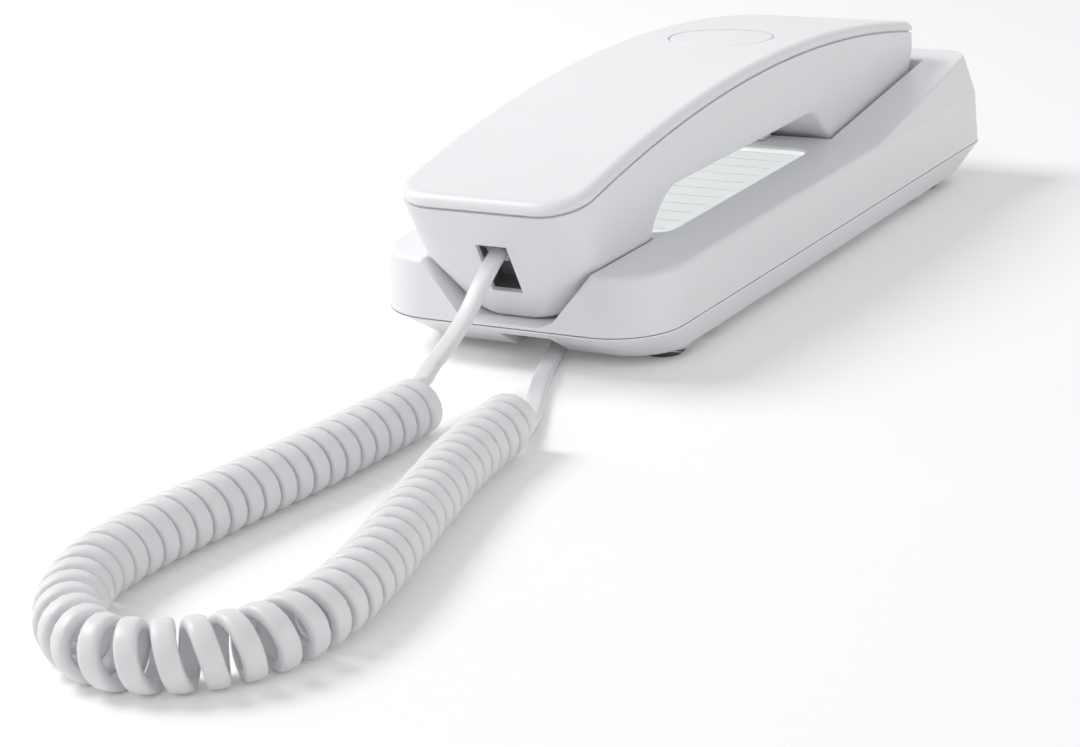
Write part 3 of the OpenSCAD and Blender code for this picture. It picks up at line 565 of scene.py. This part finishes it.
def refill_flats(piece):
    """Fill again each wide face whose outline crosses itself; returns how many there were."""
    bm = bmesh.new()
    bm.from_mesh(piece.data)
    filled = {}
    for loops in bm.calc_loop_triangles():
        a, b, c = (loop.vert.co for loop in loops)
        face = loops[0].face
        filled[face] = filled.get(face, 0) + (b - a).cross(c - a).length / 2
    folded = [face for face, area in filled.items()
              if len(face.verts) > 4 and area > FOLD_EXCESS * face.calc_area()]
    for face in folded:
        turn = face.normal.rotation_difference(UP)
        corners = list(face.verts)
        turned = [turn @ vert.co for vert in corners]
        height = sum(point.z for point in turned) / len(turned)
        ring = [point.xy for point in turned]
        sides = [(i, (i + 1) % len(ring)) for i in range(len(ring))]
        points, _, cuts, sources, _, _ = delaunay_2d_cdt(ring, sides, [], 0, MERGE_DISTANCE)
        verts = [corners[source[0]] if source
                 else bm.verts.new(turn.inverted() @ Vector((point.x, point.y, height)))
                 for point, source in zip(points, sources)]
        for cut in cuts:
            centre = sum((points[i] for i in cut), Vector((0, 0))) / 3
            trio = [verts[i] for i in cut]
            if winding(centre, ring) and len(set(trio)) == 3 and bm.faces.get(trio) is None:
                bm.faces.new(trio, face)
    bmesh.ops.delete(bm, geom=folded, context="FACES_ONLY")
    bm.to_mesh(piece.data)
    bm.free()
    return len(folded)


# %% [markdown]
# ## Bevel a shell
# A bevel modifier rounds every marked edge at once and can be changed later, where bevels cut by
# hand could not. Clamping is off, because one short edge would otherwise narrow all the rest.

# %% Round the edges of a node
SHARP_ANGLE = 38                            # degrees from which an edge stays sharp
LEVEL_REACH = 0.03 * MM


def rounded_shell(node, name, width, share_at, segments=3, angle=24, parted=None):
    """The node with convex edges rounded; share_at(edge middle, edge) scales the width.

    parted is (height, lift): points at that height are lifted, which opens a joint line."""
    piece = cleaned(node, name)
    scene.collection.objects.link(piece)
    bm = bmesh.new()
    bm.from_mesh(piece.data)
    if parted:
        for vert in bm.verts:
            if abs(vert.co.z - parted[0]) < LEVEL_REACH:
                vert.co.z += parted[1]
    layer = bm.edges.layers.float.new("bevel_weight_edge")
    for edge in bm.edges:
        if len(edge.link_faces) != 2 or edge.calc_face_angle(0) < math.radians(angle):
            continue
        middle = (edge.verts[0].co + edge.verts[1].co) / 2
        edge[layer] = share_at(middle, edge)
    bm.to_mesh(piece.data)
    bm.free()
    bevel = piece.modifiers.new("edges", "BEVEL")
    bevel.width = width
    bevel.segments = segments
    bevel.limit_method = "WEIGHT"
    bevel.use_clamp_overlap = False
    bevel.miter_outer = "MITER_ARC"
    bake(piece)
    refilled = refill_flats(piece)
    if refilled:
        print(name, refilled, "flats filled again")
    piece.data.shade_smooth()
    piece.data.set_sharp_from_angle(angle=math.radians(SHARP_ANGLE))
    flat = piece.modifiers.new("normals", "WEIGHTED_NORMAL")
    flat.keep_sharp = True
    bake(piece)
    return piece


# %% [markdown]
# ## Base
# Two shells meet at a parting line all the way round. On the real base the upper one stops a
# hair above the lower one, and the dark line between them shows from every side, so the upper
# shell's rim is lifted here before its edges are rounded.

# %% Base shells
deck_low, deck_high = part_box("base_upper_housing")
HALF_BASE = deck_high.x
PARTING = 11.0 * MM
PARTING_GAP = 0.3 * MM


def upper_share(middle, edge):
    """Wide on the deck's edge at the front, narrower behind, fine along the parting line."""
    if not edge.is_convex:
        return 0
    outside = (abs(middle.x) > HALF_BASE - 5 * MM or middle.y < deck_low.y + 10 * MM
               or middle.y > deck_high.y - 8 * MM)
    if abs(middle.z - PARTING - PARTING_GAP) < 0.1 * MM:
        return 0.12 if outside else 0
    if middle.z > 24 * MM and outside:
        return 0.4 + 0.6 * ease((-30 * MM - middle.y) / (50 * MM))
    return 0.3 if middle.z > 22 * MM else 0


def lower_share(middle, edge):
    """Fine along the parting line, wide under the sides, narrow elsewhere."""
    if not edge.is_convex:
        return 0
    if middle.z > PARTING - 0.1 * MM:
        return 0.14
    return 1.0 if abs(middle.x) > 30 * MM and middle.z < 9 * MM else 0.3


upper = rounded_shell("base_upper_housing", "base_upper_shell", 1.8 * MM, upper_share,
                      parted=(PARTING, PARTING_GAP))
finish_piece(upper, "base", "base_plastic", "base_upper_housing")
lower = rounded_shell("base_lower_housing", "base_lower_shell", 1.5 * MM, lower_share)
finish_piece(lower, "base", "base_plastic", "base_lower_housing")
print(len(upper.data.polygons), "and", len(lower.data.polygons), "faces on the base")

# %% [markdown]
# ## The bow
# The back of the handset is one long arc, and its cover, the seam under it and the round inlay
# all follow it. Each is made flat, with its height as depth above the seam, and a geometry tree
# then lays it on the arc. One rule bends them all, so they always fit each other.

# %% Lay on the bow
cover_low, cover_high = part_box("handset_cover")
BOW_RADIUS = 505 * MM
BOW_Y = 1.0 * MM
COVER_DEPTH = 3.2 * MM
BOW_AXIS = cover_high.z - COVER_DEPTH - BOW_RADIUS


def bow_tree():
    """Geometry in, flat; out, each point at its depth above the arc of the seam."""
    tree, start, end = new_group(
        "lay_on_bow", [("Geometry", "NodeSocketGeometry", None),
                       ("Radius", "NodeSocketFloat", 0.5), ("Middle", "NodeSocketFloat", 0.0),
                       ("Axis Height", "NodeSocketFloat", 0.0),
                       ("Material", "NodeSocketMaterial", None)],
        [("Geometry", "NodeSocketGeometry")], "GeometryNodeTree")
    place = add(tree, "GeometryNodeInputPosition")
    axes = add(tree, "ShaderNodeSeparateXYZ", [(0, place.outputs[0])])
    reach = sum_of(tree, "ADD", start.outputs["Radius"], axes.outputs["Z"])
    along = sum_of(tree, "SUBTRACT", axes.outputs["Y"], start.outputs["Middle"])
    square = sum_of(tree, "SUBTRACT", sum_of(tree, "MULTIPLY", reach, reach),
                    sum_of(tree, "MULTIPLY", along, along))
    height = sum_of(tree, "ADD", sum_of(tree, "SQRT", square), start.outputs["Axis Height"])
    spot = add(tree, "ShaderNodeCombineXYZ", [("X", axes.outputs["X"]), ("Y", axes.outputs["Y"]),
                                              ("Z", height)])
    moved = add(tree, "GeometryNodeSetPosition", [("Geometry", start.outputs["Geometry"]),
                                                  ("Position", spot.outputs[0])])
    real = add(tree, "GeometryNodeRealizeInstances", [("Geometry", moved.outputs[0])])
    dressed = add(tree, "GeometryNodeSetMaterial", [("Geometry", real.outputs[0]),
                                                    ("Material", start.outputs["Material"])])
    tree.links.new(dressed.outputs[0], end.inputs["Geometry"])
    return tree


def run_tree(piece, tree, values):
    """Turn a piece into the result of a geometry tree with these input values."""
    step = piece.modifiers.new(tree.name, "NODES")
    step.node_group = tree
    for socket in tree.interface.items_tree:
        if socket.item_type == "SOCKET" and socket.in_out == "INPUT" and socket.name in values:
            step[socket.identifier] = values[socket.name]
    bake(piece)


LAY_ON_BOW = bow_tree()


def lay_on_bow(piece, material):
    run_tree(piece, LAY_ON_BOW, {"Radius": BOW_RADIUS, "Middle": BOW_Y, "Axis Height": BOW_AXIS,
                                 "Material": materials[material]})


def bow_height(y, depth):
    """Height of the bow at y, at depth above the parting line."""
    return BOW_AXIS + math.sqrt((BOW_RADIUS + depth) ** 2 - (y - BOW_Y) ** 2)


print("bow of", round(BOW_RADIUS / MM), "mm radius")

# %% [markdown]
# ## Handset grip
# Mouthpiece, arch and earpiece are one moulding. Its outside edges are rounded, the ones that
# the cover meets stay crisp, and the hole of the jack gets only a trace of a bevel.

# %% Handset shell
def shell_share(middle, edge):
    """None along the seam under the cover or inside, narrow round the jack's hole."""
    if not edge.is_convex or middle.z > bow_height(middle.y, 0) - 1.0 * MM:
        return 0
    return 1.0 if abs(middle.x) > 6 * MM else 0.25


grip = rounded_shell("handset_shell", "handset_grip", 1.2 * MM, shell_share)
finish_piece(grip, "handset", "handset_plastic", "handset_shell")
print(len(grip.data.polygons), "faces on the grip")

# %% [markdown]
# ## Plan of the cover
# Seen from above the cover is a long rectangle with round corners, wider round at the mouthpiece.
# Rings of that outline, each drawn in a little and set to its depth, go up the rim, over a round
# edge and in to the centreline, then back inside. Subdivision could round the edge too, but
# rings give the rim its exact radius and a groove over the seam.

# %% Rings of the cover
COVER_HALF = cover_high.x
COVER_FRONT, COVER_REAR = cover_low.y, cover_high.y
FRONT_RADIUS, REAR_RADIUS = 11.0 * MM, 4.0 * MM
EDGE_RADIUS = 2.4 * MM
COVER_WALL, COVER_SKIN = 2.2 * MM, 1.6 * MM
SEAM = 0.6 * MM


def plan_ring(inset, along=52, across=10, corner=8):
    """Points of the plan's outline, drawn in by inset, the same number for every inset."""
    hx = COVER_HALF - inset
    front, rear = COVER_FRONT + inset, COVER_REAR - inset
    f, b = max(FRONT_RADIUS - inset, 0), max(REAR_RADIUS - inset, 0)
    spots = []
    corners = [(hx - f, front + f, f, -90), (hx - b, rear - b, b, 0),
               (-hx + b, rear - b, b, 90), (-hx + f, front + f, f, 180)]
    for k, (cx, cy, r, turn) in enumerate(corners):
        for i in range(corner + 1):
            a = math.radians(turn + 90 * i / corner)
            spots.append((cx + r * math.cos(a), cy + r * math.sin(a)))
        nx, ny, r_next, turn_next = corners[(k + 1) % 4]
        a = math.radians(turn_next)
        end = (nx + r_next * math.cos(a), ny + r_next * math.sin(a))
        count = along if k % 2 == 0 else across
        x0, y0 = spots[-1]
        for i in range(1, count):
            spots.append((x0 + (end[0] - x0) * i / count, y0 + (end[1] - y0) * i / count))
    return spots


def cover_rings():
    """(inset, depth) of each ring, from the seam over the top and back to the seam inside."""
    rings = [(1.1 * MM, 0.02 * MM), (1.0 * MM, SEAM - 0.08 * MM), (0.16 * MM, SEAM - 0.03 * MM),
             (0, SEAM + 0.12 * MM)]
    for i in range(7):
        a = math.radians(90 * i / 6)
        rings.append((EDGE_RADIUS * (1 - math.cos(a)),
                      COVER_DEPTH - EDGE_RADIUS * (1 - math.sin(a))))
    inward = [3, 4.4, 6, 8.6, 13, 19, 25]
    rings += [(d * MM, COVER_DEPTH) for d in inward] + [(COVER_HALF, COVER_DEPTH)]
    inner = COVER_DEPTH - COVER_SKIN
    back = [(COVER_HALF, inner), (19 * MM, inner), (COVER_WALL + 0.5 * MM, inner),
            (COVER_WALL, inner - 0.5 * MM), (COVER_WALL, 0.02 * MM)]
    return rings, back


# %% [markdown]
# ## Cover and inlay
# A round inlay sits in a shallow recess of the cover, with a fine ring round it. The recess is
# cut while the cover is still flat, where the cutter is a plain disc. Cover and inlay are then
# laid on the bow together.

# %% Cover and inlay
def ring_wall(bm, rings):
    """Faces between rings of plan points, flat, with depth as height."""
    rows = [[bm.verts.new((x, y, depth)) for x, y in plan_ring(inset)] for inset, depth in rings]
    for low, high in zip(rows, rows[1:]):
        for k in range(len(low)):
            n = (k + 1) % len(low)
            bm.faces.new((low[k], low[n], high[n], high[k]))
    return rows


def cover_piece():
    """The flat cover, from its outer rings to its inner ones and joined at the seam."""
    bm = bmesh.new()
    outer, inner = cover_rings()
    top = ring_wall(bm, outer)
    inside = ring_wall(bm, inner)
    for k in range(len(top[0])):
        n = (k + 1) % len(top[0])
        bm.faces.new((top[0][n], top[0][k], inside[-1][k], inside[-1][n]))
    bmesh.ops.remove_doubles(bm, verts=bm.verts, dist=0.003 * MM)
    bmesh.ops.dissolve_degenerate(bm, edges=bm.edges, dist=0.001 * MM)
    bmesh.ops.recalc_face_normals(bm, faces=bm.faces)
    return made_object("cover_shell", bm)


def spun(name, profile, y, count=96):
    """(radius, height) points carried round an upright axis at y; both ends lie on the axis."""
    bm = bmesh.new()
    rows = []
    for radius, z in profile:
        spokes = [2 * math.pi * k / count for k in range(count if radius else 1)]
        rows.append([bm.verts.new((radius * math.cos(a), y + radius * math.sin(a), z))
                     for a in spokes])
    for low, high in zip(rows, rows[1:]):
        for k in range(count):
            n = (k + 1) % count
            corners = (low[k % len(low)], low[n % len(low)], high[n % len(high)],
                       high[k % len(high)])
            bm.faces.new(list(dict.fromkeys(corners)))
    bmesh.ops.recalc_face_normals(bm, faces=bm.faces)
    return made_object(name, bm)


def smooth_at(piece, degrees):
    """Smooth shading, with the edges that turn by more than this angle kept sharp."""
    piece.data.shade_smooth()
    piece.data.set_sharp_from_angle(angle=math.radians(degrees))


inlay_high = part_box("cover_inlay")[1]
INLAY_Y = 18 * MM                            # centre of the inlay along the handset
INLAY_RADIUS = inlay_high.x
INLAY_DEPTH = 0.8 * MM
RING_GAP = 0.45 * MM

cover = cover_piece()
scene.collection.objects.link(cover)
floor_depth = COVER_DEPTH - INLAY_DEPTH
cutter = spun("cutter", [(0, floor_depth), (INLAY_RADIUS + RING_GAP * 0.3, floor_depth),
                         (INLAY_RADIUS + RING_GAP * 0.3, 5 * MM), (0, 5 * MM)], INLAY_Y)
scene.collection.objects.link(cutter)
cut = cover.modifiers.new("inlay", "BOOLEAN")
cut.object = cutter
cut.solver = "EXACT"
bake(cover)
bpy.data.objects.remove(cutter)
lay_on_bow(cover, "handset_plastic")
smooth_at(cover, 35)
finish_piece(cover, "handset", "handset_plastic", "handset_cover")

disc_radius = INLAY_RADIUS - RING_GAP
edge = 0.25 * MM
top = COVER_DEPTH - 0.02 * MM
profile = [(0, floor_depth + 0.03 * MM), (disc_radius, floor_depth + 0.03 * MM)]
for step in range(5):
    turn = math.radians(90 * step / 4)
    profile.append((disc_radius - edge * (1 - math.cos(turn)), top - edge * (1 - math.sin(turn))))
profile += [(disc_radius * share, top) for share in (0.85, 0.6, 0.3)] + [(0, top)]
inlay = spun("round_inlay", profile, INLAY_Y)
scene.collection.objects.link(inlay)
lay_on_bow(inlay, "inlay_plastic")
smooth_at(inlay, 60)
finish_piece(inlay, "handset", "inlay_plastic", "cover_inlay")
print(len(cover.data.polygons), "faces on the cover")

# %% [markdown]
# ## Keys
# Fifteen keys look down from the handset's inner face, each with a round edge and its mark. The
# marks are text, which is the shortest way to clean numerals, turned to face down and made a
# mesh before it is placed.

# %% Key marks
KEY_MARKS = {"key_1": "1", "key_2": "2", "key_3": "3", "key_4": "4", "key_5": "5", "key_6": "6",
             "key_7": "7", "key_8": "8", "key_9": "9", "key_star": "*", "key_0": "0",
             "key_hash": "#", "key_redial": "R", "key_flash": "F", "key_mute": "M"}
MARK_HEIGHT = 5.2 * MM


def mark(name, text, centre):
    """Flat printed text on a downward face, read from below with +Y up."""
    curve = bpy.data.curves.new(name, "FONT")
    curve.body = text
    curve.size = MARK_HEIGHT
    curve.extrude = 0.02 * MM
    curve.align_x = "CENTER"
    curve.resolution_u = 6
    holder = bpy.data.objects.new(name + "_text", curve)
    scene.collection.objects.link(holder)
    bpy.context.view_layer.update()
    mesh = bpy.data.meshes.new_from_object(holder)
    bpy.data.objects.remove(holder)
    ys = [v.co.y for v in mesh.vertices]
    lift = (min(ys) + max(ys)) / 2
    turn = Matrix(((-1, 0, 0), (0, 1, 0), (0, 0, -1))).to_4x4()
    mesh.transform(Matrix.Translation(centre) @ turn @ Matrix.Translation((0, -lift, 0)))
    mesh.name = name
    return bpy.data.objects.new(name, mesh)


# %% Key caps
for node, text in KEY_MARKS.items():
    low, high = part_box(node)
    cap = rounded_shell(node, f"{node}_cap_shell", 0.45 * MM,
                        lambda middle, edge, z=low.z: 1.0 if middle.z < z + 0.1 * MM else 0)
    finish_piece(cap, f"{node}_cap", "key_plastic", node)
    centre = Vector(((low.x + high.x) / 2, (low.y + high.y) / 2, low.z))
    label = mark(f"{node}_mark", text, centre)
    finish_piece(label, f"{node}_cap", "key_ink")
print(len(KEY_MARKS), "keys")

# %% [markdown]
# ## Screws
# Six equal screws hold the shells together, head down in their wells. What repeats is made once:
# a geometry tree builds a pan head with a cross recess and a shank, and sets one on each point.
# The points are where the CAD screws stand.

# %% Screw tree
def screw_tree():
    """Points in; out, a screw on each, standing on its head."""
    tree, start, end = new_group(
        "screw_set", [("Geometry", "NodeSocketGeometry", None),
                      ("Head Radius", "NodeSocketFloat", 0.003),
                      ("Head Height", "NodeSocketFloat", 0.002),
                      ("Shank Radius", "NodeSocketFloat", 0.0015),
                      ("Length", "NodeSocketFloat", 0.01), ("Recess", "NodeSocketFloat", 0.001),
                      ("Material", "NodeSocketMaterial", None)],
        [("Geometry", "NodeSocketGeometry")], "GeometryNodeTree")
    size = start.outputs
    head = add(tree, "GeometryNodeMeshCone", [("Radius Top", size["Head Radius"]),
                                              ("Depth", size["Head Height"])])
    head.inputs["Vertices"].default_value = 32
    tree.links.new(sum_of(tree, "MULTIPLY", size["Head Radius"], 0.8),
                   head.inputs["Radius Bottom"])
    arm_size = add(tree, "ShaderNodeCombineXYZ", [
        ("X", sum_of(tree, "MULTIPLY", size["Head Radius"], 1.1)),
        ("Y", sum_of(tree, "MULTIPLY", size["Head Radius"], 0.26)),
        ("Z", sum_of(tree, "MULTIPLY", size["Recess"], 2))])
    arm = add(tree, "GeometryNodeMeshCube", [("Size", arm_size.outputs[0])])
    other = add(tree, "GeometryNodeTransform", [("Geometry", arm.outputs["Mesh"])])
    other.inputs["Rotation"].default_value = (0, 0, math.pi / 2)
    cut_out = add(tree, "GeometryNodeMeshBoolean", [("Mesh 1", head.outputs["Mesh"]),
                                                    ("Mesh 2", arm.outputs["Mesh"]),
                                                    ("Mesh 2", other.outputs[0])],
                  operation="DIFFERENCE")
    shank = add(tree, "GeometryNodeMeshCylinder", [("Radius", size["Shank Radius"])])
    shank.inputs["Vertices"].default_value = 20
    tree.links.new(size["Length"], shank.inputs["Depth"])
    middle = sum_of(tree, "MULTIPLY", size["Length"], 0.5)
    lift = add(tree, "ShaderNodeCombineXYZ", [
        ("Z", sum_of(tree, "ADD", middle, sum_of(tree, "MULTIPLY", size["Head Height"], 0.98)))])
    raised = add(tree, "GeometryNodeTransform", [("Geometry", shank.outputs["Mesh"]),
                                                 ("Translation", lift.outputs[0])])
    both = add(tree, "GeometryNodeJoinGeometry", [("Geometry", cut_out.outputs[0]),
                                                  ("Geometry", raised.outputs[0])])
    placed = add(tree, "GeometryNodeInstanceOnPoints", [("Points", size["Geometry"]),
                                                        ("Instance", both.outputs[0])])
    real = add(tree, "GeometryNodeRealizeInstances", [("Geometry", placed.outputs[0])])
    dressed = add(tree, "GeometryNodeSetMaterial", [("Geometry", real.outputs[0]),
                                                    ("Material", size["Material"])])
    tree.links.new(dressed.outputs[0], end.inputs["Geometry"])
    return tree


SCREW_SET = screw_tree()
print("tree", SCREW_SET.name)


# %% Screws in their wells
def screw_spots(node):
    """(x, y, lowest z, highest z, head radius) of each loose screw in a node."""
    bm = bmesh.new()
    bm.from_mesh(nodes[node].data)
    bmesh.ops.remove_doubles(bm, verts=bm.verts, dist=0.002 * MM)
    left, spots = set(bm.verts), []
    while left:
        reached, front = set(), [left.pop()]
        while front:
            vert = front.pop()
            reached.add(vert)
            for near in (edge.other_vert(vert) for edge in vert.link_edges):
                if near in left:
                    left.remove(near)
                    front.append(near)
        xs, ys, zs = zip(*(vert.co for vert in reached))
        spots.append(((min(xs) + max(xs)) / 2, (min(ys) + max(ys)) / 2, min(zs), max(zs),
                      (max(xs) - min(xs)) / 2))
    bm.free()
    return spots


def set_screws(node, body, name):
    spots = screw_spots(node)
    mesh = bpy.data.meshes.new(name)
    mesh.from_pydata([(x, y, low) for x, y, low, _, _ in spots], [], [])
    piece = bpy.data.objects.new(name, mesh)
    scene.collection.objects.link(piece)
    _, _, low, high, radius = spots[0]
    run_tree(piece, SCREW_SET, {"Head Radius": radius, "Head Height": HEAD_HEIGHT,
                                "Shank Radius": SHANK_RADIUS,
                                "Length": high - low - HEAD_HEIGHT, "Recess": 0.9 * MM,
                                "Material": materials["screw_steel"]})
    smooth_at(piece, 30)
    finish_piece(piece, body, "screw_steel", node)
    print(len(spots), "screws in", node)


HEAD_HEIGHT, SHANK_RADIUS = 2.2 * MM, 1.4 * MM
set_screws("base_screws", "base", "base_screw_set")
set_screws("handset_screws", "handset", "handset_screw_set")

# %% [markdown]
# ## Small parts
# The tab that holds the handset on a wall gets round edges. Boards, capsules, jacks, feet, card
# and window already have their real shape in CAD, so they keep it and get their materials.

# %% Tab and carried-over parts
tab = rounded_shell("wall_tab", "tab_shell", 0.5 * MM, lambda middle, edge: 1.0)
finish_piece(tab, "base", "base_plastic", "wall_tab")

SLOTS = {
    "foot_rubber": ["rubber_feet"],
    "circuit_board": ["base_circuit_board", "handset_circuit_board"],
    "ringer_brass": ["ringer"],
    "ballast_steel": ["ballast_weight"],
    "jack_plastic": ["base_cord_jack", "line_jack", "handset_jack"],
    "switch_plastic": ["hook_switch_body"],
    "base_plastic": ["hook_switch_plunger"],
    "switch_knob_plastic": ["ringer_switch"],
    "card_paper": ["index_card"],
    "window_clear": ["index_window"],
    "capsule_metal": ["receiver_capsule", "microphone_capsule"],
    "keypad_rubber": ["receiver_gasket", "microphone_boot", "keypad_membrane"],
    "plug_clear": ["handset_plug", "base_plug"],
}
for slot, names in SLOTS.items():
    for name in names:
        mesh = nodes[name].data
        mesh.materials.clear()
        mesh.materials.append(materials[slot])
print(sum(len(names) for names in SLOTS.values()), "nodes keep their CAD shape")

# %% [markdown]
# ## Floor
# The phone stands on a plain white floor. Its colour carries the shadow; a little light of its
# own, which only the camera and reflections see, makes it white without more light on the phone.

# %% Floor
FLOOR_GLOW = 0.10
FLOOR_HALF = 6.0


def add_floor():
    mesh = bpy.data.meshes.new("floor")
    half = FLOOR_HALF
    mesh.from_pydata([(-half, -half, 0), (half, -half, 0), (half, half, 0), (-half, half, 0)],
                     [], [(0, 1, 2, 3)])
    floor = bpy.data.objects.new("floor", mesh)
    scene.collection.objects.link(floor)
    material, tree, shader = new_material("floor_white")
    shader.inputs["Base Color"].default_value = (0.98, 0.98, 0.98, 1)
    shader.inputs["Roughness"].default_value = 0.7
    shader.inputs["Specular IOR Level"].default_value = 0.2
    shader.inputs["Emission Color"].default_value = (1, 1, 1, 1)
    glow = sum_of(tree, "MULTIPLY", seen_directly(tree), FLOOR_GLOW)
    tree.links.new(glow, shader.inputs["Emission Strength"])
    mesh.materials.append(material)


add_floor()
print("floor of", 2 * FLOOR_HALF, "m")

# %% [markdown]
# ## Light
# Soft studio light: an even surround, a large lamp high on the left that throws the shadow to
# the right, and four weak ones that open the rear, the front and both sides. One sun would give
# hard shadows, and the surround by itself none, so most of the light is shared between the two.

# %% Lamps and surround
def add_area(name, place, target, size, power):
    data = bpy.data.lights.new(name, "AREA")
    data.shape = "DISK"
    data.size = size
    data.energy = power
    lamp = bpy.data.objects.new(name, data)
    way = Vector(target) - Vector(place)
    lamp.matrix_world = (Matrix.Translation(place)
                         @ way.to_track_quat("-Z", "Y").to_matrix().to_4x4())
    scene.collection.objects.link(lamp)


def set_world(color, strength):
    """An even surround that lights by its strength and is seen, and mirrored, as white."""
    world = bpy.data.worlds.new("surround")
    world.use_nodes = True
    tree = world.node_tree
    back = tree.nodes["Background"]
    back.inputs["Color"].default_value = (*color, 1)
    more = sum_of(tree, "MULTIPLY", seen_directly(tree), 1 - strength)
    tree.links.new(sum_of(tree, "ADD", more, strength), back.inputs["Strength"])
    scene.world = world


LAMPS = {
    "key_light": ((-0.9, -0.3, 1.05), 0.7, 10.6),
    "low_left": ((-1.2, -0.1, 0.42), 0.6, 0.9),
    "rear_left": ((-0.6, 1.0, 0.8), 0.8, 0.6),
    "front_light": ((0.1, -1.2, 0.8), 0.8, 1.7),
    "right_fill": ((1.1, 0.0, 0.35), 0.7, 1.8),
}
LAMP_TARGET = (0, -0.05, 0.02)              # the middle of the phone
SURROUND_COLOR, SURROUND_STRENGTH = (0.98, 0.985, 1.0), 0.43
set_world(SURROUND_COLOR, SURROUND_STRENGTH)
for name, (place, size, power) in LAMPS.items():
    add_area(name, place, LAMP_TARGET, size, power)
scene.view_settings.view_transform = "Standard"
scene.view_settings.look = "None"
print(len(LAMPS), "lamps")
